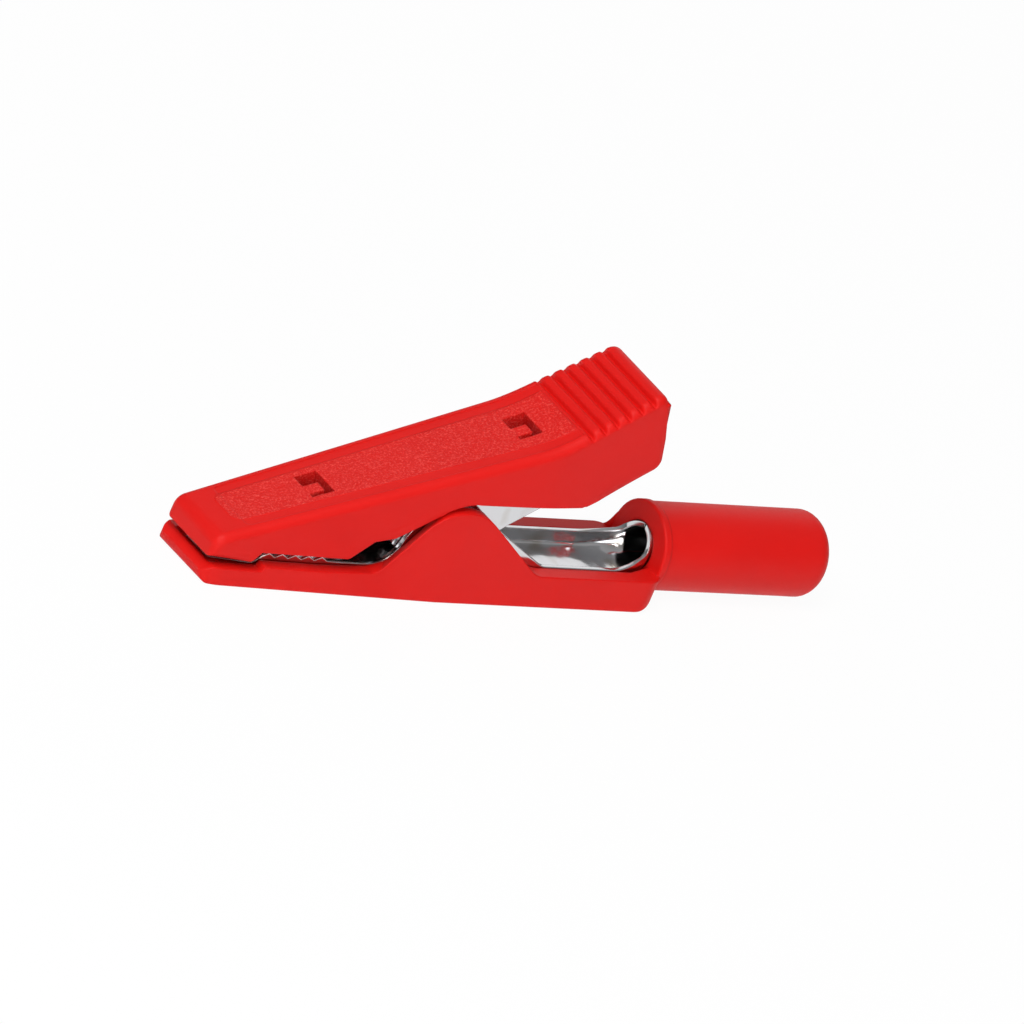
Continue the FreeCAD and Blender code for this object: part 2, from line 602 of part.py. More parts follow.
# Casing: the insulating lower shell, a trough with two cheeks and the socket's sleeve
def make_lower_shell():
    """Trough with cheeks, collar and sleeve, hollowed for the lower jaw and the rivet's heads."""
    end = COLLAR_REACH + COLLAR_LENGTH / 2
    plan = [
        (-NOSE_REACH, CASING_NOSE_HALF_WIDTH, CASING_NOSE_ROUND),
        (-NOSE_REACH + CASING_NOSE_SHOULDER, CASING_SHOULDER_HALF_WIDTH, 2.0),
        (0, CASING_HALF_WIDTH, 0),
        (end, CASING_REAR_HALF_WIDTH, CASING_REAR_ROUND),
    ]
    cheek_x, cheek_z = tangent_corner(CHEEK_RADIUS, CHEEK_FRONT_ANGLE, CHEEK_REAR_ANGLE)
    front_foot = tangent_x(CHEEK_RADIUS, CHEEK_FRONT_ANGLE, CASING_FRONT_WALL_TOP)
    rear_foot = tangent_x(CHEEK_RADIUS, CHEEK_REAR_ANGLE, CASING_REAR_WALL_TOP)
    lip = JAW_TIP_GAP - METAL_CLEARANCE
    side = [
        (-NOSE_REACH, UNDERSIDE, CASING_NOSE_ROUND),
        (-NOSE_REACH, CASING_LIP_TOP, 0.08),
        (-NOSE_REACH + lip, CASING_TIP_WALL_TOP, 0.08),
        (CASING_STEP, CASING_TIP_WALL_TOP, 0.08),
        (CASING_STEP + CASING_STEP_LENGTH, CASING_TEETH_WALL_TOP, 0.08),
        (CASING_TEETH_END, CASING_TEETH_WALL_TOP, 1.0),
        (front_foot, CASING_FRONT_WALL_TOP, CHEEK_FRONT_FOOT),
        (cheek_x, cheek_z, CHEEK_RADIUS),
        (rear_foot, CASING_REAR_WALL_TOP, CHEEK_REAR_FOOT),
        (end, CASING_REAR_WALL_TOP, 0),
        (end, UNDERSIDE, CASING_HEEL_ROUND),
    ]
    body = side_prism(side, -FAR, FAR).common(plan_prism(plan, -FAR, FAR))
    rim = edges_along(body, lambda p: abs(p.z - UNDERSIDE) < 1e-5 and p.x > CASING_NOSE_ROUND - NOSE_REACH)
    rim = [edge for edge in rim if edge.BoundBox.XLength > CASING_HEEL_ROUND]
    body = body.makeFillet(CASING_EDGE_ROUND, rim)

    front = JAW_NOSE_X - METAL_CLEARANCE
    trough = lower_plan(METAL_CLEARANCE, front, CHANNEL_END + THROAT_LENGTH / 6)
    trough.append((COLLAR_REACH, TUBE_RADIUS + METAL_CLEARANCE + TROUGH_END_MARGIN, 0))
    body = body.cut(plan_prism(trough, FLOOR_BOTTOM - METAL_CLEARANCE, FAR))

    head = RIVET_HEAD_RADIUS + METAL_CLEARANCE
    depth = JAW_HALF_WIDTH + RIVET_HEAD_THICKNESS + METAL_CLEARANCE
    body = body.cut(rod(head, Vector(0, -depth, 0), Vector(0, depth, 0)))
    body = body.cut(box((-head, -depth, 0), (head, depth, 2 * CHEEK_RADIUS)))

    collar = SLEEVE_RADIUS + COLLAR_STEP
    seat = TUBE_RADIUS + METAL_CLEARANCE
    profile = [
        (COLLAR_REACH, seat, 0),
        (COLLAR_REACH, collar - COLLAR_CHAMFER, 0),
        (COLLAR_REACH + COLLAR_CHAMFER, collar, 0),
        (SLEEVE_START, collar, 0),
        (SLEEVE_START, SLEEVE_RADIUS, 0),
        (SLEEVE_END, SLEEVE_RADIUS - SLEEVE_DRAFT, SLEEVE_END_ROUND),
        (SLEEVE_END, SLEEVE_MOUTH_RADIUS + SLEEVE_MOUTH_CHAMFER, 0),
        (SLEEVE_END - SLEEVE_MOUTH_CHAMFER, SLEEVE_MOUTH_RADIUS, 0),
        (MOUTH_X, SLEEVE_MOUTH_RADIUS, 0),
        (MOUTH_X, seat, 0),
    ]
    ring = rounded(profile, lambda p: Vector(p.x, 0, p.y))
    ring = ring.revolve(Vector(0, 0, 0), Vector(1, 0, 0), 360)
    body = body.fuse(ring)
    body = body.cut(rod(seat, Vector(COLLAR_REACH, 0, 0), Vector(MOUTH_X, 0, 0)))
    below = box((COLLAR_REACH - 1, -FAR, -FAR), (SLEEVE_END + 1, FAR, UNDERSIDE))
    return body.cut(below)


# Rivet and torsion spring on the pivot axis
def make_rivet():
    """Rivet through all four ears, with a low round head on each side."""
    half = JAW_HALF_WIDTH + RIVET_HEAD_THICKNESS
    profile = [
        (-half, 0, 0),
        (-half, RIVET_HEAD_RADIUS - RIVET_HEAD_CHAMFER, 0),
        (RIVET_HEAD_CHAMFER - half, RIVET_HEAD_RADIUS, 0),
        (-JAW_HALF_WIDTH, RIVET_HEAD_RADIUS, 0),
        (-JAW_HALF_WIDTH, RIVET_RADIUS, 0),
        (JAW_HALF_WIDTH, RIVET_RADIUS, 0),
        (JAW_HALF_WIDTH, RIVET_HEAD_RADIUS, 0),
        (half - RIVET_HEAD_CHAMFER, RIVET_HEAD_RADIUS, 0),
        (half, RIVET_HEAD_RADIUS - RIVET_HEAD_CHAMFER, 0),
        (half, 0, 0),
    ]
    face = rounded(profile, lambda p: Vector(0, p.x, p.y))
    return face.revolve(Vector(0, 0, 0), Vector(0, 1, 0), 360)


def make_spring():
    """Torsion spring: a coil round the rivet, one leg on the floor, one under the upper web."""
    wire = WIRE_DIAMETER / 2
    coil = RIVET_RADIUS + SPRING_CLEARANCE + wire
    upper_angle = SPRING_UPPER_LEG_ANGLE + 90.0
    turns = SPRING_TURNS + (270.0 - upper_angle) / 360.0
    length = turns * SPRING_PITCH
    helix = Part.makeHelix(SPRING_PITCH, length, coil)
    # Stand the coil on the Y axis, its first end at the upper leg's angle
    helix.translate(Vector(0, 0, -length / 2))
    helix.rotate(Vector(0, 0, 0), Vector(1, 0, 0), 90)
    helix.rotate(Vector(0, 0, 0), Vector(0, 1, 0), -upper_angle)
    top = helix.Vertexes[0].Point
    bottom = helix.Vertexes[-1].Point

    lean = math.radians(SPRING_UPPER_LEG_ANGLE)
    along = Vector(math.cos(lean), 0, math.sin(lean))
    web = web_under(0, LEVER_ROOF + METAL_CLEARANCE + SHEET)
    slope = math.tan(math.radians(LEVER_SLOPE))
    rise = along.z - slope * along.x
    reach = (web - (wire + SPRING_SEAT) * ROOF_DROP + slope * top.x - top.z) / rise
    upper_end = top + along * reach
    drop = FLOOR_TOP + wire + SPRING_SEAT + coil
    lower_end = bottom + Vector(SPRING_LOWER_LEG, 0, drop)
    legs = [Part.LineSegment(upper_end, top).toShape(), Part.LineSegment(bottom, lower_end).toShape()]

    corners = []
    across = along.cross(Vector(0, 1, 0))
    for index in range(WIRE_SIDES + 1):
        turn = 2 * math.pi * index / WIRE_SIDES
        offset = Vector(0, 1, 0) * math.cos(turn) + across * math.sin(turn)
        corners.append(upper_end + offset * wire)
    sweep = Part.BRepOffsetAPI.MakePipeShell(Part.Wire([legs[0], *helix.Edges, legs[1]]))
    sweep.setBiNormalMode(Vector(0, 1, 0))
    sweep.add(Part.makePolygon(corners), False, False)
    sweep.build()
    sweep.makeSolid()
    return sweep.shape()


shapes = {
    "lower_shell": make_lower_shell(),
    "upper_shell": make_upper_shell(),
    "lower_jaw": make_lower_jaw(),
    "upper_jaw": make_upper_jaw(),
    "pivot_rivet": make_rivet(),
    "torsion_spring": make_spring(),
}

for name, shape in shapes.items():
    shape = shape.translated(Vector(-MOUTH_X, 0, 0))
    solids = shape.Solids
    print(name, "solids", len(solids), "volume", round(shape.Volume, 3), "valid", shape.isValid())
    shape.exportStep("parts/%s.step" % name)
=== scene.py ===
"""Looks of a fully insulated miniature crocodile clip with a socket for a 2 mm test plug.

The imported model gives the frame. Sizes in the classes below are millimetres, measured from the
pivot axis: x towards the socket, y across the clip and z up. A finished piece's mesh is in metres
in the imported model's own frame, where the origin is the centre of the socket's mouth.
"""

from __future__ import annotations

import logging
import math
from collections.abc import Iterator
from contextlib import contextmanager
from dataclasses import dataclass
from enum import Enum
from functools import partial
from typing import Any

import bmesh
import bpy
import numpy as np
from mathutils import Matrix, Vector

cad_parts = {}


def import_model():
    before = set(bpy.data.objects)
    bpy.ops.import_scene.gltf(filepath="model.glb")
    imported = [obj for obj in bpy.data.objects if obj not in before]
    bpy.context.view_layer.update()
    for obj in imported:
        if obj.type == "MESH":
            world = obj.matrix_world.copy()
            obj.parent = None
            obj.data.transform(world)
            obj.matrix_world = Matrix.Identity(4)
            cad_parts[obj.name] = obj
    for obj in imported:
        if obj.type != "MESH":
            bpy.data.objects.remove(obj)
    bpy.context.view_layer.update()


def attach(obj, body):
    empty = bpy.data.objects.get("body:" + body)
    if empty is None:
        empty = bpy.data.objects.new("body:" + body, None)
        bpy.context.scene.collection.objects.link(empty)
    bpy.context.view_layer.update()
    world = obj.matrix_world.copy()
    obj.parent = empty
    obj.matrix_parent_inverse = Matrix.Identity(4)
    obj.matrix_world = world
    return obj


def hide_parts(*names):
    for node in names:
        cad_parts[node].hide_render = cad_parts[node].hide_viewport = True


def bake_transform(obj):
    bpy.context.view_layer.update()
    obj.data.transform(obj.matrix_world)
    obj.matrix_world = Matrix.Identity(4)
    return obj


MM = 1e-3
PIVOT_X = -25.75
PIVOT = np.array([PIVOT_X, 0.0, 0.0])

Array = np.ndarray
Socket = bpy.types.NodeSocket
Tree = bpy.types.NodeTree
Piece = bpy.types.Object
Pair = tuple[float, float]
Triple = tuple[float, float, float]
log = logging.getLogger("crocodile_clip")


class Body(Enum):
    """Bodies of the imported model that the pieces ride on."""

    CASING = "casing"
    LEVER = "lever"


# ---- colour and node helpers


def to_linear(colour: str) -> tuple[float, float, float, float]:
    """Turn an sRGB hex colour into linear values.

    Args:
        colour: Six hex digits after a hash sign.

    Returns:
        Linear red, green, blue and an alpha of 1.
    """
    levels = [int(colour[i : i + 2], 16) / 255 for i in (1, 3, 5)]
    linear = [v / 12.92 if v <= 0.04045 else ((v + 0.055) / 1.055) ** 2.4 for v in levels]
    return (*linear, 1.0)


def add_node(
    tree: Tree, kind: str, inputs: dict[str | int, Any] | None = None, **settings: Any
) -> bpy.types.Node:
    """Add one node with its settings and its inputs.

    Args:
        tree: Node tree that gets the node.
        kind: Node type's identifier after ShaderNode.
        inputs: Constant, or socket that feeds it, for each named or numbered input.
        **settings: The node's own properties.

    Returns:
        The new node.
    """
    node = tree.nodes.new(f"ShaderNode{kind}")
    for name, value in settings.items():
        setattr(node, name, value)
    for name, value in (inputs or {}).items():
        if isinstance(value, Socket):
            tree.links.new(value, node.inputs[name])
        else:
            node.inputs[name].default_value = value
    return node


def math_node(tree: Tree, operation: str, *inputs: float | Socket) -> Socket:
    """Add one Math node.

    Args:
        tree: Node tree that gets the node.
        operation: What the node does.
        *inputs: Its inputs in order, each a constant or a socket.

    Returns:
        The node's result.
    """
    return add_node(tree, "Math", dict(enumerate(inputs)), operation=operation).outputs[0]


def noise_node(
    tree: Tree, place: Socket, size_mm: float, detail: float = 2.0, roughness: float = 0.5
) -> Socket:
    """Add a noise whose pattern has a real size.

    Args:
        tree: Node tree that gets the node.
        place: Coordinates in metres.
        size_mm: Size of the pattern's coarsest cells.
        detail: Number of finer layers.
        roughness: How much each of them adds.

    Returns:
        The noise.
    """
    inputs = {"Scale": 1 / (size_mm * MM), "Detail": detail, "Roughness": roughness}
    return add_node(tree, "TexNoise", {"Vector": place, **inputs}).outputs["Fac"]


def range_node(
    tree: Tree, value: Socket, source: Pair = (0.0, 1.0), target: Pair = (0.0, 1.0)
) -> Socket:
    """Map a value from one range onto another, and hold it inside the second.

    Args:
        tree: Node tree that gets the node.
        value: The value.
        source: Range that it comes from.
        target: Range that it goes to.

    Returns:
        The mapped value.
    """
    inputs = dict(zip(("From Min", "From Max", "To Min", "To Max"), (*source, *target)))
    return add_node(tree, "MapRange", {"Value": value, **inputs}).outputs[0]


def mix_colours(tree: Tree, share: Socket, first: str | Socket, second: str | Socket) -> Socket:
    """Blend two colours.

    Args:
        tree: Node tree that gets the node.
        share: Share of the second colour.
        first: First colour, as hex digits or a socket.
        second: The other.

    Returns:
        The blended colour.
    """
    pair = [to_linear(item) if isinstance(item, str) else item for item in (first, second)]
    inputs = {0: share, 6: pair[0], 7: pair[1]}
    return add_node(tree, "Mix", inputs, data_type="RGBA").outputs[2]


def rounded_relief(
    tree: Tree, height: Socket, depth_mm: float, edge_mm: float, samples: int
) -> Socket:
    """Shade a surface's edges as rounded and its face with a relief.

    Args:
        tree: Node tree that gets the nodes.
        height: Height of the relief.
        depth_mm: Depth that a height of 1 stands for.
        edge_mm: Radius of the edges.
        samples: Rays that feel for an edge.

    Returns:
        The surface's normal.
    """
    rounded = add_node(tree, "Bevel", {"Radius": edge_mm * MM}, samples=samples)
    relief = {"Strength": 1.0, "Distance": depth_mm * MM, "Height": height}
    return add_node(tree, "Bump", {"Normal": rounded.outputs[0], **relief}).outputs[0]


PLAIN_WHITE = {"Color": to_linear("#ffffff"), "Strength": 1.0}


# ---- finishes


class Finish:
    """A real material with its surface treatment."""

    name: str

    def surface(self, tree: Tree, place: Socket) -> Socket:
        """Shader of the surface, from object coordinates in metres."""
        raise NotImplementedError

    def material(self) -> bpy.types.Material:
        """Make the finish's material."""
        material = bpy.data.materials.new(self.name)
        material.use_nodes = True
        tree = material.node_tree
        tree.nodes.clear()
        place = add_node(tree, "TexCoord").outputs["Object"]
        add_node(tree, "OutputMaterial", {"Surface": self.surface(tree, place)})
        return material


@dataclass(frozen=True)
class ErodedPanel:
    """Outline of a spark-eroded panel: even about y = 0, with two rounded corners in front."""

    front_x: float
    rear_x: float
    front_half: float
    rear_half: float
    corner: float = 0.6
    fade: float = 0.08

    def mask(self, tree: Tree, place: Socket) -> Socket:
        """Share of the panel, from object coordinates in metres: 1 on it and 0 round it.

        The distance to the outline is the length of (how far in front, how far beside), each
        measured from the corner's centre and never below 0, less the corner's radius.
        """
        calculate = partial(math_node, tree)
        axes = add_node(tree, "SeparateXYZ", {0: place})
        x = calculate("MULTIPLY_ADD", axes.outputs["X"], 1 / MM, -PIVOT_X)
        y = calculate("ABSOLUTE", calculate("MULTIPLY", axes.outputs["Y"], 1 / MM))
        widening = (self.rear_half - self.front_half) / (self.rear_x - self.front_x)
        limit_at_pivot = self.front_half - self.front_x * widening - self.corner
        limit = calculate("MULTIPLY_ADD", x, widening, limit_at_pivot)
        ahead = calculate("MAXIMUM", calculate("SUBTRACT", self.front_x + self.corner, x), 0.0)
        beside = calculate("MAXIMUM", calculate("SUBTRACT", y, limit), 0.0)
        squares = calculate("MULTIPLY_ADD", ahead, ahead, calculate("MULTIPLY", beside, beside))
        inside = calculate("SUBTRACT", self.corner, calculate("SQRT", squares))
        inside = calculate("MINIMUM", inside, calculate("SUBTRACT", self.rear_x, x))
        return range_node(tree, inside, source=(0.0, self.fade))


@dataclass(frozen=True)
class MouldedPolyamide(Finish):
    """Injection-moulded red polyamide.

    The eye sees one deep, even red with a soft, broad sheen. A stoned face is finely matt, and a
    spark-eroded panel is an orange-peel of small pits whose crests carry a painted highlight, a
    paler red mixed into the colour. Edges of the moulding are a little round, because the melt
    never fills a sharp corner.
    """

    name: str
    colour: str = "#e01611"
    shaded_colour: str = "#d4120e"
    crest_highlight_colour: str = "#f8564e"
    drift_mm: float = 4.0
    grain_mm: float = 0.16
    grain_depth_mm: float = 0.004
    pit_mm: float = 0.12
    pit_depth_mm: float = 0.07
    crest_highlight_levels: Pair = (0.49, 0.68)
    crest_highlight_share: float = 0.8
    roughness: Pair = (0.44, 0.58)
    edge_mm: float = 0.07
    scatter_mm: float = 0.3
    panel: ErodedPanel | None = None

    def surface(self, tree: Tree, place: Socket) -> Socket:
        """Shader of the surface."""
        # Flow of the melt: slow drifts of the pigment
        drift = noise_node(tree, place, self.drift_mm, detail=3.0)
        colour = mix_colours(tree, drift, self.shaded_colour, self.colour)
        # The tool's face, printed into the plastic
        grain = noise_node(tree, place, self.grain_mm, roughness=0.55)
        height = math_node(tree, "MULTIPLY", grain, self.grain_depth_mm)
        if self.panel is not None:
            # The sparks' pits, and a painted highlight on the crests between them
            pits = noise_node(tree, place, self.pit_mm, detail=3.0, roughness=0.7)
            relief = math_node(tree, "MULTIPLY", pits, self.panel.mask(tree, place))
            height = math_node(tree, "MULTIPLY_ADD", relief, self.pit_depth_mm, height)
            # Painted highlight: the paler crest colour is mixed in where the relief is high
            painted_crest_highlight = range_node(tree, relief, self.crest_highlight_levels, (0.0, self.crest_highlight_share))
            colour = mix_colours(tree, painted_crest_highlight, colour, self.crest_highlight_colour)
        normal = rounded_relief(tree, height, 1.0, self.edge_mm, samples=8)
        gloss = range_node(tree, grain, target=self.roughness)
        return add_node(
            tree,
            "BsdfPrincipled",
            {
                "Base Color": colour,
                "Roughness": gloss,
                "Normal": normal,
                "IOR": 1.53,
                "Specular IOR Level": 0.18,
                "Subsurface Weight": 0.25,
                "Subsurface Radius": (1.0, 0.12, 0.08),
                "Subsurface Scale": self.scatter_mm * MM,
            },
        ).outputs[0]


@dataclass(frozen=True)
class NickelPlate(Finish):
    """Bright nickel over rolled or drawn steel.

    The eye sees a clean mirror that is soft along the rolling direction. A faint waviness bends
    each reflection and carries a painted warm reflection, a brown mixed into the colour, and
    rounded edges show as bright lines.
    """

    name: str
    colour: str = "#d6d6d8"
    warm_reflection_colour: str = "#a3937c"
    warm_reflection_levels: Pair = (0.52, 0.80)
    warm_reflection_share: float = 0.55
    roughness: Pair = (0.07, 0.19)
    wave_mm: float = 1.3
    wave_depth_mm: float = 0.035
    line_mm: float = 0.05
    line_stretch: float = 0.04
    edge_mm: float = 0.05

    def surface(self, tree: Tree, place: Socket) -> Socket:
        """Shader of the surface."""
        # Rolling lines run along the clip, so they are long in x and fine in y and z
        stretch = {"Vector": place, "Scale": (self.line_stretch, 1.0, 1.0)}
        lines = noise_node(tree, add_node(tree, "Mapping", stretch).outputs[0], self.line_mm)
        wave = noise_node(tree, place, self.wave_mm, detail=1.0)
        # Painted reflection: a warm brown mixed into the nickel where the waviness is high
        painted_warm_reflection = range_node(tree, wave, self.warm_reflection_levels, (0.0, self.warm_reflection_share))
        colour = mix_colours(tree, painted_warm_reflection, self.colour, self.warm_reflection_colour)
        normal = rounded_relief(tree, wave, self.wave_depth_mm, self.edge_mm, samples=6)
        gloss = range_node(tree, lines, target=self.roughness)
        skin = {"Base Color": colour, "Metallic": 1.0, "Roughness": gloss, "Normal": normal}
        return add_node(tree, "BsdfPrincipled", skin).outputs[0]


@dataclass(frozen=True)
class PaleBoard(Finish):
    """Matt white board under the clip, which keeps the clip's shadow."""

    name: str = "matt_white_board"
    colour: str = "#f6f6f6"
    tooth_mm: float = 0.3
    tooth_depth_mm: float = 0.01
    glow: float = 0.95

    def surface(self, tree: Tree, place: Socket) -> Socket:
        """Shader of the surface, with a glow that is seen straight or in the metal alone."""
        tooth = noise_node(tree, place, self.tooth_mm)
        relief = {"Strength": 0.1, "Distance": self.tooth_depth_mm * MM, "Height": tooth}
        bump = add_node(tree, "Bump", relief).outputs[0]
        matt = add_node(tree, "BsdfDiffuse", {"Color": to_linear(self.colour), "Normal": bump})
        white = add_node(tree, "Emission", PLAIN_WHITE)
        path = add_node(tree, "LightPath").outputs
        seen = math_node(tree, "MAXIMUM", path["Is Camera Ray"], path["Is Glossy Ray"])
        seen = math_node(tree, "MAXIMUM", seen, path["Is Transmission Ray"])
        share = math_node(tree, "MULTIPLY", seen, self.glow)
        inputs = {0: share, 1: matt.outputs[0], 2: white.outputs[0]}
        return add_node(tree, "MixShader", inputs).outputs[0]


# ---- mesh helpers


def grid_faces(rows: int, columns: int, closed: bool = False) -> Array:
    """Quads of a grid of points stored row by row.

    Args:
        rows: Number of rows.
        columns: Number of points in a row.
        closed: True where each row closes on itself.

    Returns:
        Point numbers of each quad.
    """
    row = np.arange(rows - 1)[:, None] * columns
    column = np.arange(columns if closed else columns - 1)[None, :]
    after = (column + 1) % columns
    quads = [row + column, row + after, row + columns + after, row + columns + column]
    return np.stack(quads, axis=-1).reshape(-1, 4)


def smooth_share(value: Array) -> Array:
    """Ease a share from 0 to 1 with level ends: 3 t squared less 2 t cubed."""
    share = np.clip(value, 0.0, 1.0)
    return share * share * (3 - 2 * share)


def read_places(mesh: bpy.types.Mesh) -> Array:
    """Vertices of a mesh, in mm from the pivot."""
    return np.array([vertex.co for vertex in mesh.vertices]) / MM - PIVOT


def write_places(mesh: bpy.types.Mesh, places: Array) -> None:
    """Move a mesh's vertices to places in mm from the pivot."""
    mesh.vertices.foreach_set("co", ((places + PIVOT) * MM).astype(np.float32).ravel())
    mesh.update()


@contextmanager
def open_mesh(mesh: bpy.types.Mesh) -> Iterator[bmesh.types.BMesh]:
    """Open a mesh for work on its faces and edges, and write it back afterwards."""
    work = bmesh.new()
    work.from_mesh(mesh)
    yield work
    work.to_mesh(mesh)
    work.free()


def add_object(name: str, data: bpy.types.ID) -> Piece:
    """Put a mesh, lamp or camera into the scene as an object, at the origin."""
    item = bpy.data.objects.new(name, data)
    bpy.context.scene.collection.objects.link(item)
    return item


def mark_hard_edges(work: bmesh.types.BMesh, sharp_deg: float) -> None:
    """Make an edge sharp where its faces turn by more than an angle, or where it is open.

    Args:
        work: Mesh whose edges are marked.
        sharp_deg: Edges that turn less than this stay smooth.
    """
    limit = math.radians(sharp_deg)
    for edge in work.edges:
        edge.smooth = len(edge.link_faces) == 2 and edge.calc_face_angle() < limit


def make_piece(name: str, points: Array, faces: Array, sharp_deg: float = 40.0) -> Piece:
    """Make a smooth object from points and faces.

    Args:
        name: Name of the object and its mesh.
        points: Points in mm from the pivot.
        faces: Point numbers of each face.
        sharp_deg: Edges that turn more than this stay sharp.

    Returns:
        The new object, at the origin.
    """
    mesh = bpy.data.meshes.new(name)
    placed = (points.reshape(-1, 3) + PIVOT) * MM
    mesh.from_pydata(placed.tolist(), [], faces.tolist())
    mesh.validate()
    with open_mesh(mesh) as work:
        bmesh.ops.remove_doubles(work, verts=work.verts, dist=1e-4 * MM)
        bmesh.ops.recalc_face_normals(work, faces=work.faces)
        for face in work.faces:
            face.smooth = True
        mark_hard_edges(work, sharp_deg)
    return add_object(name, mesh)


def merged_copy(node: str, name: str) -> Piece:
    """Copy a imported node's mesh with its loose triangles joined.

    Args:
        node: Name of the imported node.
        name: Name of the copy.

    Returns:
        The copy, at the origin.
    """
    mesh = bpy.data.objects[node].data.copy()
    mesh.name = name
    mesh.materials.clear()
    with open_mesh(mesh) as work:
        bmesh.ops.remove_doubles(work, verts=work.verts, dist=5e-4 * MM)
    return add_object(name, mesh)


def keep_flats_flat(piece: Piece, sharp_deg: float = 32.0) -> None:
    """Shade a piece smooth, with hard edges sharp and its large flats even.

    Args:
        piece: Object to shade.
        sharp_deg: Edges that turn more than this stay sharp.
    """
    piece.data.shade_smooth()
    with open_mesh(piece.data) as work:
        mark_hard_edges(work, sharp_deg)
    weighted = piece.modifiers.new("even_flats", "WEIGHTED_NORMAL")
    weighted.keep_sharp = True
    weighted.weight = 90


def finish_piece(
    piece: Piece, material: bpy.types.Material, body: Body, slot: str, *nodes: str
) -> None:
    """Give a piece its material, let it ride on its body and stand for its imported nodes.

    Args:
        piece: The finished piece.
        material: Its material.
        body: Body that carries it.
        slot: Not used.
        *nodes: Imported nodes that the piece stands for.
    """
    piece.data.materials.append(material)
    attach(piece, body.value)
    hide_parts(*nodes)
    log.info("%s: %d faces on %s", piece.name, len(piece.data.polygons), body.value)


# ---- lever


@dataclass
class Lever:
    """Upper shell: tapered top with a spark-eroded panel, and a thumb grip of six rounded ribs.

    The grip is measured along its slope from the corner where the top's two slopes would meet,
    and in depth square to it.
    """

    reach: float = 15.40
    top_height: float = 5.70
    nose_top: float = 0.40
    grip_start: float = 4.15
    grip_blend: float = 10.0
    grip_slope_deg: float = 33.0
    grip_length: float = 7.00
    nose_half_width: float = 2.28
    wide_half_width: float = 3.00
    wide_x: float = 4.90
    rear_half_width: float = 2.64
    rear_x: float = 11.75
    plan_round: float = 25.0
    edge_round: float = 0.50
    groove_count: int = 6
    groove_pitch: float = 0.78
    groove_depth: float = 0.30
    groove_end_margin: float = 1.08
    groove_narrowness: float = 3.0
    groove_ease: float = 0.16
    zone_before: float = 0.30
    zone_after: float = 0.32
    panel_depth: float = 0.04
    panel_ease: float = 0.20
    skirt: float = 0.06
    square_from: float = 1.5
    square_short: float = 0.8
    side_gap: float = 2e-3
    wall_gap: float = 0.015
    roof_gap: float = 0.15
    under_height: float = 3.79
    under_layer: float = 0.6
    under_drop: float = 0.22
    under_start: float = 3.3
    under_ease: float = 2.2
    cheek_x: float = -0.64
    cheek_slope_deg: float = 37.0
    knee_x: float = 7.38
    finish: Finish = MouldedPolyamide(
        "red_polyamide_lever", edge_mm=0.09, panel=ErodedPanel(-13.9, 5.6, 1.28, 1.92)
    )
    rib_finish: Finish = MouldedPolyamide(
        "red_polyamide_ribs", grain_depth_mm=0.006, scatter_mm=0.1
    )

    @property
    def slope(self) -> float:
        """Slope of the top's front part, in radians."""
        return math.atan2(self.top_height - self.nose_top, self.reach)

    @property
    def steep(self) -> float:
        """Slope of the grip, in radians."""
        return math.radians(self.grip_slope_deg)

    @property
    def corner_z(self) -> float:
        """Height of the corner where the top's two slopes would meet."""
        return self.top_height + self.grip_start * math.tan(self.slope)

    def roof(self, x: Array) -> tuple[Array, Array]:
        """Top face's height and slope: a straight, an arc and a steeper straight.

        Args:
            x: Places along the clip.

        Returns:
            Height and slope in radians at each place.
        """
        front, steep, radius = self.slope, self.steep, self.grip_blend
        tangent = radius * math.tan((steep - front) / 2)
        start_x = self.grip_start - tangent * math.cos(front)
        end_x = self.grip_start + tangent * math.cos(steep)
        middle_x = start_x - radius * math.sin(front)
        middle_z = self.top_height + start_x * math.tan(front) + radius * math.cos(front)
        arc_slope = np.arcsin(np.clip((x - middle_x) / radius, -1, 1))
        front_z = self.top_height + x * math.tan(front)
        arc_z = middle_z - radius * np.cos(arc_slope)
        grip_z = self.corner_z + (x - self.grip_start) * math.tan(steep)
        height = np.where(x < start_x, front_z, np.where(x < end_x, arc_z, grip_z))
        return height, np.where(x < start_x, front, np.where(x < end_x, arc_slope, steep))

    def half_width(self, x: Array) -> Array:
        """Half-width of the lever: two straights that meet behind the pivot in a long arc."""
        places = [-self.reach, self.wide_x, self.rear_x]
        widths = [self.nose_half_width, self.wide_half_width, self.rear_half_width]
        front, rear = np.diff(widths) / np.diff(places)
        tangent = self.plan_round * (front - rear) / 2
        inside_arc = np.maximum(tangent - np.abs(x - self.wide_x), 0)
        return np.interp(x, places, widths) - inside_arc**2 / (2 * self.plan_round)

    def groove_places(self) -> Array:
        """Distances of the grooves' valleys along the grip."""
        last = self.grip_length - self.groove_end_margin
        return last - self.groove_pitch * np.arange(self.groove_count)[::-1]

    def rib_zone(self) -> Pair:
        """Distances along the grip between which the ribs are shaped."""
        places = self.groove_places()
        return places[0] - self.zone_before, places[-1] + self.zone_after

    def shell(self) -> Piece:
        """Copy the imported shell, open it over the ribs and square up its lower edges."""
        piece = merged_copy("upper_shell", "lever_shell")
        cos, sin = math.cos(self.steep), math.sin(self.steep)
        corner = Vector((self.grip_start + PIVOT_X, 0, self.corner_z))
        along, down = Vector((cos, 0, sin)), Vector((sin, 0, -cos))
        first, last = self.rib_zone()
        depth = self.edge_round + self.skirt
        with open_mesh(piece.data) as work:
            for way, distance in ((along, first), (along, last), (down, depth)):
                everything = work.verts[:] + work.edges[:] + work.faces[:]
                point = (corner + way * distance) * MM
                bmesh.ops.bisect_plane(
                    work, geom=everything, dist=1e-7, plane_co=point, plane_no=way
                )
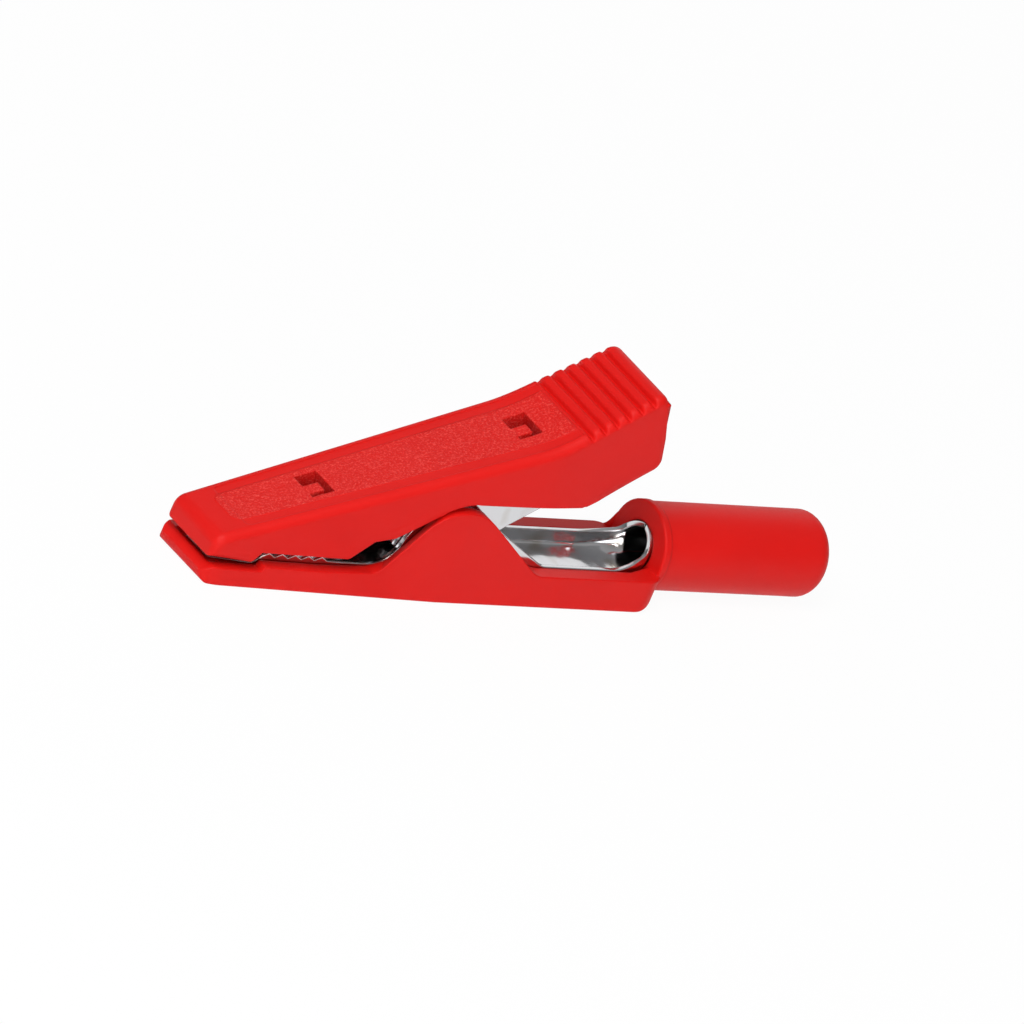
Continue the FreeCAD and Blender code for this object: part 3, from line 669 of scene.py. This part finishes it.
            # A face goes where its middle lies between the cuts
            middles = np.array([face.calc_center_median() for face in work.faces]) / MM - PIVOT
            dx, dz = middles[:, 0] - self.grip_start, middles[:, 2] - self.corner_z
            s, d = dx * cos + dz * sin, dx * sin - dz * cos
            over = (s > first) & (s < last) & (d < depth)
            gone = [face for face, out in zip(work.faces, over) if out]
            bmesh.ops.delete(work, geom=gone, context="FACES")
        self.square_lower_edges(piece)
        keep_flats_flat(piece)
        return piece

    def square_lower_edges(self, piece: Piece) -> None:
        """Push the rounding of the sides' lower edges out to the sides, and lower the underside.

        Gaps tell the rounding from the side, the hollow's wall and the top's own rounding. The
        underside sinks most in front, over the cheek, and not at all at the knee.

        Args:
            piece: The lever's shell.
        """
        places = read_places(piece.data)
        x, y, z = places.T
        height, slope = self.roof(x)
        depth = (height - z) * np.cos(slope)
        side = self.half_width(x)
        inset = side - np.abs(y)
        rounding = (inset > self.side_gap) & (inset < self.edge_round - self.wall_gap)
        rounding &= depth > self.edge_round + self.roof_gap
        rounding &= (x > self.square_from - self.reach) & (x < self.rear_x - self.square_short)
        places[rounding, 1] = np.sign(y[rounding]) * side[rounding]
        behind = x - self.cheek_x
        sloping = self.under_height + behind * math.tan(math.radians(self.cheek_slope_deg))
        under = np.minimum(self.under_height, sloping)
        near = np.clip(1 - (z - under) / self.under_layer, 0, 1)
        near = near * smooth_share((behind + self.under_start) / self.under_ease)
        falling = np.clip((self.knee_x - x) / (self.knee_x - self.cheek_x), 0, 1)
        places[:, 2] -= self.under_drop * near * falling
        write_places(piece.data, places)

    def rib_section(self) -> tuple[Array, Array, Array]:
        """Section across the ribs: side wall, quarter circle, flat, quarter circle, side wall.

        Returns:
            Depth, inset from the lever's side and share of the half-width at each point.
        """
        radius = self.edge_round
        turn = np.linspace(math.pi / 2, 0, 15)
        wall = np.array([self.skirt, self.skirt / 2])
        flat = np.linspace(-1, 1, 29)[1:-1]
        depth = np.concatenate([radius + wall, radius * (1 - np.cos(turn))])
        inset = np.concatenate([np.zeros(wall.size), radius * (1 - np.sin(turn))])
        share = np.concatenate([np.full(inset.size, -1.0), flat, np.full(inset.size, 1.0)])
        depth = np.concatenate([depth, np.zeros(flat.size), depth[::-1]])
        inset = np.concatenate([inset, np.full(flat.size, radius), inset[::-1]])
        return depth, inset, share

    def ribs(self) -> Piece:
        """Ribbed skin of the thumb grip.

        The section is carried along the grip. Each point sinks by the groove's depth times a
        cosine hump raised to a power, one hump a pitch, which leaves broad crests and narrow
        valleys. The sinking fades out down the quarter circle. At the front end the flat also
        sinks to the panel's level.

        Returns:
            The ribs.
        """
        first, last = self.rib_zone()
        s = np.linspace(first, last, 122)
        phase = (s - self.groove_places()[0]) / self.groove_pitch
        hump = (0.5 + 0.5 * np.cos(2 * math.pi * phase)) ** self.groove_narrowness
        ends = smooth_share(np.minimum(s - first, last - s) / self.groove_ease)
        sink = self.groove_depth * hump * ends
        depth, inset, share = self.rib_section()
        fade = smooth_share(1 - depth / self.edge_round)
        level = self.panel_depth * smooth_share((first + self.panel_ease - s) / self.panel_ease)
        total = depth + sink[:, None] * fade + level[:, None] * (np.abs(share) < 1)
        cos, sin = math.cos(self.steep), math.sin(self.steep)
        x = self.grip_start + s[:, None] * cos + total * sin
        z = self.corner_z + s[:, None] * sin - total * cos
        y = share * (self.half_width(x) - inset)
        faces = grid_faces(s.size, depth.size)[:, ::-1]
        return make_piece("lever_ribs", np.stack([x, y, z], axis=-1), faces, sharp_deg=60.0)

    def build(self) -> None:
        """Build and dress the lever's pieces."""
        for piece, finish in ((self.shell(), self.finish), (self.ribs(), self.rib_finish)):
            finish_piece(piece, finish.material(), Body.LEVER, "shell_plastic", "upper_shell")


# ---- casing


@dataclass
class Casing:
    """Lower shell: trough, two cheeks, collar and the socket's sleeve."""

    inner_face: float = 2.10
    inner_gap: float = 0.12
    slack: float = 0.02
    wall_top: float = -0.88
    slope_front: float = -5.6
    slope_rear: float = -1.2
    slope_ease: float = 1.3
    set_back: float = 0.70
    set_back_rise: float = 0.5
    rear_wall_top: float = -0.47
    collar_x: float = 14.60
    collar_radius: float = 2.39
    web_half_width: float = 2.86
    web_meet_deg: float = 14.0
    web_pull: float = 0.85
    web_foot: float = 0.25
    web_lean: float = 0.05
    web_front: float = 0.15
    web_rear: float = 0.10
    finish: Finish = MouldedPolyamide("red_polyamide_casing", edge_mm=0.16)

    def slant_cheeks(self, piece: Piece) -> None:
        """Set back the inner edge of each cheek's front slope, so that the jaw's rim shows there.

        The shift grows from none on the wall's top to the whole set-back, and fades out again
        towards the top of the cheek.

        Args:
            piece: The casing's shell.
        """
        places = read_places(piece.data)
        x, y, z = places.T
        inner = np.abs(np.abs(y) - self.inner_face) < self.inner_gap
        inner &= (z > self.wall_top - self.slack) & (x > self.slope_front)
        shift = smooth_share((z - self.wall_top) / self.set_back_rise)
        shift = shift * smooth_share((self.slope_rear - x) / self.slope_ease)
        places[:, 0] += self.set_back * shift * inner
        write_places(piece.data, places)

    def web(self) -> Piece:
        """Small hollow-sided web between the far wall's rear end and the collar.

        Its top is a curve of the second degree, from the wall's outer top edge to the collar's
        circle, which it meets along the circle.

        Returns:
            The web.
        """
        steps = 17
        meet = math.radians(self.web_meet_deg)
        cos, sin = math.cos(meet), math.sin(meet)
        start = np.array([self.web_half_width, self.rear_wall_top - self.slack])
        end = self.collar_radius * np.array([cos, sin])
        pull = end - self.web_pull * np.array([-sin, cos])
        share = np.linspace(0, 1, steps)[:, None]
        top = (1 - share) ** 2 * start + 2 * share * (1 - share) * pull + share**2 * end
        foot_y = top[:, :1] - self.web_lean * share
        foot_z = np.full_like(foot_y, self.rear_wall_top - self.web_foot)
        foot = np.concatenate([foot_y, foot_z], axis=1)
        section = np.stack([top, top, foot, foot], axis=1)
        front = self.collar_x - self.web_front * (1 - share) ** 0.5
        rear = np.full_like(front, self.collar_x + self.web_rear)
        x = np.concatenate([front, rear, rear, front], axis=1)
        points = np.concatenate([x[..., None], section], axis=-1)
        cap = np.arange(4)
        faces = grid_faces(steps, cap.size, closed=True)
        faces = np.concatenate([faces, [cap, points.size // 3 - 1 - cap]])
        return make_piece("casing_web", points, faces, sharp_deg=50.0)

    def build(self) -> None:
        """Build and dress the casing."""
        shell = merged_copy("lower_shell", "casing_shell")
        self.slant_cheeks(shell)
        keep_flats_flat(shell)
        material = self.finish.material()
        for piece in (shell, self.web()):
            finish_piece(piece, material, Body.CASING, "shell_plastic", "lower_shell")


# ---- sheet metal


@dataclass
class LowerJaw:
    """Lower jaw: one sheet that is a toothed channel with two ears, a throat and a rolled tube."""

    sheet: float = 0.28
    bore_radius: float = 1.02
    floor_bottom: float = -1.54
    bend: float = 0.48
    half_width: float = 2.05
    nose_half_width: float = 1.00
    tip_half_width: float = 1.48
    tip_shoulder: float = 0.15
    teeth_half_width: float = 1.737
    nose_x: float = -14.55
    taper_start: float = -3.50
    wall_top: float = -0.42
    jaw_top: float = -0.82
    tip_top: float = -1.40
    ear_radius: float = 2.94
    ear_front_deg: float = 166.0
    ear_rear_deg: float = 62.0
    front_foot: float = 1.90
    rear_foot: float = 1.10
    throat_x: float = 11.90
    closing_x: float = 13.85
    closing_power: float = 1.7
    rim_deg: float = 15.0
    rim_power: int = 4
    collar_x: float = 14.60
    mouth_x: float = 25.75
    seam_gap: float = 0.08
    teeth_front: float = -11.55
    tooth_pitch: float = 0.87
    tooth_height: float = 0.25
    tooth_count: int = 5
    edge: float = 0.05
    edge_steps: int = 4
    row_gap: float = 0.2
    finish: Finish = NickelPlate("bright_nickel_on_rolled_steel")

    def outline(self) -> tuple[Array, Array]:
        """Height of the walls' top edge along the clip.

        Straight lines for the tip, the teeth and the walls, a circle for the ear, a line that
        leaves it at the rear, and an arc of the foot's radius at each of the ear's two feet.

        Returns:
            Places along the clip, in rising order, and the height at each.
        """
        start = self.teeth_front
        places = [(self.nose_x, self.tip_top), (start - self.tooth_pitch / 4, self.tip_top)]
        for index in range(self.tooth_count):
            root = start + index * self.tooth_pitch
            places.append((root + 1e-3, self.jaw_top))
            places.append((root + self.tooth_pitch / 2, self.jaw_top + self.tooth_height))
        places.append((start + self.tooth_count * self.tooth_pitch, self.jaw_top))
        for front, angle, top, foot in (
            (True, self.ear_front_deg, self.jaw_top, self.front_foot),
            (False, self.ear_rear_deg, self.wall_top, self.rear_foot),
        ):
            turn = math.radians(angle)
            corner_x = (self.ear_radius - top * math.sin(turn)) / math.cos(turn)
            reach = foot * math.tan(abs(turn - math.pi / 2) / 2)
            centre = corner_x - reach if front else corner_x + reach
            way = np.linspace(-math.pi / 2, turn - math.pi, 14)
            arc = list(zip(centre + foot * np.cos(way), top + foot + foot * np.sin(way)))
            if front:
                ear = np.linspace(turn, math.radians(self.ear_rear_deg), 46)
                arc += zip(self.ear_radius * np.cos(ear), self.ear_radius * np.sin(ear))
            places += arc if front else arc[::-1]
        # Rows are close in the throat alone
        walls = np.linspace(centre + 2 * self.row_gap, self.throat_x, 14)
        throat = np.linspace(self.throat_x, self.collar_x + self.row_gap, 96)[1:]
        tube = np.linspace(self.collar_x + 3 * self.row_gap, self.mouth_x, 12)
        places += [(x, self.wall_top) for x in np.concatenate([walls, throat, tube])]
        return tuple(np.array(places).T)

    def sections(self) -> tuple[Array, Array, Array]:
        """Outside of the sheet's section at each place, and which way it faces.

        A section runs down the near wall, round a bend, along the floor and up the far wall. In
        the throat each of its points moves in a straight line, by an eased share, to the point of
        the tube's circle at the same share of the way round, and its facing turns with it. The
        opening between the rims closes by 1 less a power of the way to the collar.

        Returns:
            Places along the clip, points (y, z) and facing angles, a row for each place.
        """
        x, top = self.outline()
        tip_end = self.teeth_front - self.tooth_pitch / 4
        places = [self.nose_x, tip_end, tip_end + self.tip_shoulder, self.taper_start]
        widths = [self.nose_half_width, self.tip_half_width, self.teeth_half_width, self.half_width]
        half = np.interp(x, places, widths)[:, None]
        rise = top[:, None] - self.floor_bottom
        bend_radius = np.minimum(self.bend, rise - self.edge)
        wall = rise - bend_radius - self.edge
        corner = half - bend_radius
        down = np.linspace(0, 1, 13)
        bend = np.linspace(0, 1, 11)[1:]
        across = np.linspace(0, 1, 25)[1:]
        near_y = np.broadcast_to(-half, (x.size, down.size))
        near_z = top[:, None] - self.edge - wall * down
        lean = math.pi + bend * math.pi / 2
        bend_y = bend_radius * np.cos(lean) - corner
        bend_z = self.floor_bottom + bend_radius * (1 + np.sin(lean))
        floor_y = (corner * (2 * across - 1))[:, :-1]
        floor_z = np.full_like(floor_y, self.floor_bottom)
        left_y = np.concatenate([near_y, bend_y], axis=1)
        left_z = np.concatenate([near_z, bend_z], axis=1)
        y = np.concatenate([left_y, floor_y, -left_y[:, ::-1]], axis=1)
        z = np.concatenate([left_z, floor_z, left_z[:, ::-1]], axis=1)
        left = np.concatenate([np.full(down.size, math.pi), lean])
        under = np.full(across.size - 1, 1.5 * math.pi)
        facing = np.concatenate([left, under, 3 * math.pi - left[::-1]])
        # Shares of the developed width, for the way round the tube
        quarter = self.bend * math.pi / 2
        run_wall = (self.wall_top - self.floor_bottom - self.bend - self.edge) * down
        run_bend = run_wall[-1] + quarter * bend
        run_floor = run_bend[-1] + 2 * (self.half_width - self.bend) * across
        total = run_floor[-1] + quarter + run_wall[-1]
        left = np.concatenate([run_wall, run_bend])
        share = np.concatenate([left, run_floor[:-1], total - left[::-1]]) / total
        tube = self.bore_radius + self.sheet
        seam = (self.seam_gap / 2 + self.edge) / self.bore_radius
        spread = math.radians(90 - self.rim_deg) - seam
        nearing = np.clip((x - self.closing_x) / (self.collar_x - self.closing_x), 0.0, 1.0)
        gap = (seam + spread * (1 - nearing**self.rim_power))[:, None]
        way = math.pi / 2 + gap + share * (2 * math.pi - 2 * gap)
        closing = np.clip((x - self.throat_x) / (self.collar_x - self.throat_x), 0, 1)[:, None]
        closing = closing**self.closing_power
        y = y + closing * (tube * np.cos(way) - y)
        z = z + closing * (tube * np.sin(way) - z)
        return x, np.stack([y, z], axis=-1), facing + closing * (way - facing)

    def thickness(self) -> Array:
        """Sheet's thickness at each place: less at the pressed tip, whose top is low."""
        return np.minimum(self.sheet, self.outline()[1] - self.floor_bottom)

    def sheet_points(self) -> Array:
        """Closed ring of points round the sheet's thickness at each place.

        The ring is the outside, a rounded edge, the inside and the other rounded edge. A rounded
        edge is two quarter circles of the edge's radius, one at each of the sheet's faces.

        Returns:
            Points, a row for each place along the clip.
        """
        x, outside, facing = self.sections()
        normal = np.stack([np.cos(facing), np.sin(facing)], axis=-1)
        thick = self.thickness()[:, None]
        inside = outside - thick[:, None] * normal
        turn = np.linspace(0, math.pi / 2, self.edge_steps)
        cos, sin = np.cos(turn)[None, :, None], np.sin(turn)[None, :, None]
        ring = [outside]
        for column, way in ((-1, 1.0), (0, -1.0)):
            out = normal[:, column]
            ahead = way * np.stack([-out[:, 1], out[:, 0]], axis=-1)
            start = outside[:, column] if way > 0 else inside[:, column]
            face = way * out
            near = start - self.edge * face
            far = start - (thick - self.edge) * face
            face, ahead = face[:, None], ahead[:, None]
            first = near[:, None] + self.edge * (face * cos + ahead * sin)
            second = far[:, None] + self.edge * (ahead * cos - face * sin)
            ring += [first[:, 1:], second[:, :-1]]
            if way > 0:
                ring.append(inside[:, ::-1])
        section = np.concatenate(ring, axis=1)
        along = np.broadcast_to(x[:, None, None], section.shape[:2] + (1,))
        return np.concatenate([along, section], axis=-1)

    def build(self) -> None:
        """Build and dress the jaw."""
        points = self.sheet_points()
        rows, columns = points.shape[:2]
        faces = grid_faces(rows, columns, closed=True)
        # Each end is closed by a strip between the outside and the inside
        rounding = 2 * (self.edge_steps - 1)
        outer = columns // 2 - rounding
        order = np.arange(outer - 1)
        inner = outer + rounding + (outer - 1 - order)
        strip = np.stack([order, order + 1, inner - 1, inner], axis=-1)
        strips = [strip, strip[:, ::-1] + (rows - 1) * columns]
        faces = np.concatenate([faces, *strips])
        piece = make_piece("lower_jaw_sheet", points, faces, sharp_deg=50.0)
        finish_piece(piece, self.finish.material(), Body.CASING, "plated_sheet", "lower_jaw")


@dataclass
class UpperJaw:
    """Upper jaw: the toothed channel inside the lever."""

    finish: Finish = NickelPlate("bright_nickel_on_upper_jaw")

    def build(self) -> None:
        """Build and dress the jaw."""
        piece = merged_copy("upper_jaw", "upper_jaw_sheet")
        keep_flats_flat(piece, sharp_deg=30.0)
        finish_piece(piece, self.finish.material(), Body.LEVER, "plated_sheet", "upper_jaw")


# ---- pivot


@dataclass
class PivotRivet:
    """Rivet with a low domed head on each side."""

    shank_radius: float = 0.60
    head_radius: float = 0.95
    half_span: float = 2.05
    head_rim: float = 0.06
    head_height: float = 0.22
    finish: Finish = NickelPlate("nickel_plated_rivet", colour="#d2d1d0", roughness=(0.17, 0.29))

    def build(self) -> None:
        """Build and dress the rivet.

        The surface turns a profile of (y, radius) about the y axis. Each head's dome is a quarter
        of an ellipse from the head's rim to the axis.
        """
        span, shank, head = self.half_span, self.shank_radius, self.head_radius
        turn = np.linspace(0, math.pi / 2, 12)
        dome_y = span + self.head_rim + (self.head_height - self.head_rim) * np.sin(turn)
        dome = np.stack([dome_y, np.maximum(head * np.cos(turn), 1e-3)], axis=-1)
        right = np.concatenate([[[0.0, shank], [span, shank], [span, head]], dome])
        y, radius = np.concatenate([right[::-1] * [-1, 1], right[1:]]).T[..., None]
        way = np.linspace(0, 2 * math.pi, 64, endpoint=False)
        x, z = radius * np.cos(way), radius * np.sin(way)
        points = np.stack([x, np.broadcast_to(y, x.shape), z], axis=-1)
        piece = make_piece("rivet", points, grid_faces(y.size, way.size, closed=True))
        finish_piece(piece, self.finish.material(), Body.CASING, "rivet_steel", "pivot_rivet")


@dataclass
class TorsionSpring:
    """Spring of round wire: one leg on the jaw's floor, a coil round the rivet, one leg above."""

    wire_radius: float = 0.17
    coil_radius: float = 0.91
    turns: float = 5.375
    pitch: float = 0.40
    upper_deg: float = 135.0
    upper_leg: float = 3.35
    lower_leg: float = 5.60
    lower_drop: float = -0.16
    finish: Finish = NickelPlate("drawn_spring_wire", colour="#a9a8a6", roughness=(0.23, 0.35))

    def path(self) -> Array:
        """Wire's middle line: a straight leg, a helix about the y axis and a straight leg."""
        length = self.turns * self.pitch
        share = np.linspace(0, 1, 150)
        angle = math.radians(self.upper_deg) - share * self.turns * 2 * math.pi
        x, z = self.coil_radius * np.cos(angle), self.coil_radius * np.sin(angle)
        coil = np.stack([x, length / 2 - share * length, z], axis=-1)
        lean = math.radians(self.upper_deg - 90)
        steps = np.linspace(1, 0, 12)[:-1, None]
        upper = coil[0] + steps * self.upper_leg * np.array([math.cos(lean), 0, math.sin(lean)])
        lower = coil[-1] + (1 - steps[::-1]) * np.array([self.lower_leg, 0, self.lower_drop])
        return np.concatenate([upper, coil, lower[1:]])

    def build(self) -> None:
        """Build and dress the spring.

        The surface is a circle of the wire's radius carried along the path, its two axes square
        to the path's direction, and each end narrows to a point for the sheared end.
        """
        line = self.path()
        ahead = np.gradient(line, axis=0)
        ahead /= np.linalg.norm(ahead, axis=1)[:, None]
        first = np.cross(ahead, np.array([0.0, 1.0, 0.0]))
        first /= np.linalg.norm(first, axis=1)[:, None]
        second = np.cross(first, ahead)
        way = np.linspace(0, 2 * math.pi, 14, endpoint=False)
        cos, sin = np.cos(way)[None, :, None], np.sin(way)[None, :, None]
        circle = first[:, None] * cos + second[:, None] * sin
        radius = np.full(line.shape[0], self.wire_radius)
        line = np.concatenate([line[:1], line, line[-1:]])
        circle = np.concatenate([circle[:1], circle, circle[-1:]])
        radius = np.concatenate([[1e-3], radius, [1e-3]])
        points = line[:, None] + circle * radius[:, None, None]
        faces = grid_faces(line.shape[0], way.size, closed=True)
        piece = make_piece("spring_wire", points, faces, sharp_deg=50.0)
        piece.data.materials.append(self.finish.material())
        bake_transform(piece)
        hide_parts("torsion_spring")
        log.info("%s: %d faces between both bodies", piece.name, len(piece.data.polygons))


# ---- studio


@dataclass(frozen=True)
class SoftBox:
    """One soft lamp: its place in mm from the clip's middle, its width and its power."""

    name: str
    place: Triple
    width: float
    power: float


@dataclass
class Studio:
    """Pale floor, soft lamps and the camera at the photograph's view.

    The camera sees a known point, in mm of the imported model's frame, at known pixels.
    """

    right: Triple = (0.7746, -0.5134, 0.3680)
    up: Triple = (-0.0392, 0.5421, 0.8390)
    px_per_mm: float = 19.05
    known_point: Triple = (0.5, 0.0, 0.0)
    known_px: Pair = (808.6, 553.3)
    frame_px: float = 1024.0
    distance: float = 300.0
    floor_z: float = -2.38
    floor_half: float = 4000.0
    lamp_aim: Triple = (5.0, 0.0, 2.0)
    lamps: tuple[SoftBox, ...] = (
        SoftBox("key_softbox", (-220.0, -120.0, 320.0), 240.0, 1.12),
        SoftBox("fill_softbox", (-150.0, -290.0, 110.0), 260.0, 0.36),
        SoftBox("back_softbox", (246.0, 258.0, 156.0), 300.0, 0.17),
    )
    sky_levels: Pair = (-0.2, 0.9)
    sky_low: str = "#8f8f92"
    sky_high: str = "#ffffff"
    sky_strength: float = 0.36

    def camera(self) -> None:
        """Stand a parallel camera on the photograph's line of sight, at the photograph's scale."""
        right = Vector(self.right).normalized()
        up = Vector(self.up)
        up = (up - right * up.dot(right)).normalized()
        back = right.cross(up)
        across, down = (Vector(self.known_px) - Vector((1, 1)) * self.frame_px / 2) / self.px_per_mm
        aim = Vector(self.known_point) - right * across + up * down
        data = bpy.data.cameras.new("photo_camera")
        data.type = "ORTHO"
        data.ortho_scale = self.frame_px / self.px_per_mm * MM
        data.clip_start = 10 * MM
        data.clip_end = 20.0
        camera = add_object("photo_camera", data)
        turn = Matrix((right, up, back)).transposed().to_4x4()
        camera.matrix_world = Matrix.Translation((aim + back * self.distance) * MM) @ turn
        bpy.context.scene.camera = camera

    def floor(self) -> None:
        """Lay the pale floor: a square whose height is the underside's."""
        side = np.array([-self.floor_half, self.floor_half])
        x, y = np.meshgrid(side, side, indexing="ij")
        points = np.stack([x, y, np.full_like(x, self.floor_z)], axis=-1)
        board = make_piece("floor_board", points, grid_faces(2, 2))
        if board.data.polygons[0].normal.z < 0:
            board.data.flip_normals()
        board.data.materials.append(PaleBoard().material())

    def sky(self) -> None:
        """Light the scene from all round, paler above than below, with a white background."""
        world = bpy.data.worlds.new("soft_room")
        world.use_nodes = True
        tree = world.node_tree
        tree.nodes.clear()
        way = add_node(tree, "TexCoord").outputs["Generated"]
        height = add_node(tree, "SeparateXYZ", {0: way}).outputs["Z"]
        share = range_node(tree, height, self.sky_levels)
        room = mix_colours(tree, share, self.sky_low, self.sky_high)
        lit = add_node(tree, "Background", {"Strength": self.sky_strength, "Color": room})
        white = add_node(tree, "Background", PLAIN_WHITE)
        seen = add_node(tree, "LightPath").outputs["Is Camera Ray"]
        inputs = {0: seen, 1: lit.outputs[0], 2: white.outputs[0]}
        mixed = add_node(tree, "MixShader", inputs)
        add_node(tree, "OutputWorld", {"Surface": mixed.outputs[0]})
        bpy.context.scene.world = world

    def hang_lamps(self) -> None:
        """Hang each soft lamp and aim it at the clip's middle."""
        middle = Vector(self.lamp_aim) + Vector(PIVOT)
        for lamp in self.lamps:
            data = bpy.data.lights.new(lamp.name, "AREA")
            data.shape = "DISK"
            data.size = lamp.width * MM
            data.energy = lamp.power
            item = add_object(lamp.name, data)
            item.location = (middle + Vector(lamp.place)) * MM
            item.rotation_euler = (-Vector(lamp.place)).to_track_quat("-Z", "Y").to_euler()

    def build(self) -> None:
        """Build the studio."""
        bpy.context.scene.view_settings.view_transform = "Standard"
        self.camera()
        self.floor()
        self.sky()
        self.hang_lamps()
        log.info("studio: camera, floor and %d lamps", len(self.lamps))


def main() -> None:
    """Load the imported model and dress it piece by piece."""
    logging.basicConfig(level=logging.INFO, format="%(name)s: %(message)s")
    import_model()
    Studio().build()
    for part in (Casing(), Lever(), LowerJaw(), UpperJaw(), PivotRivet(), TorsionSpring()):
        part.build()
        log.info("%s done", type(part).__name__)
    bpy.context.view_layer.update()


if __name__ == "__main__":
    main()
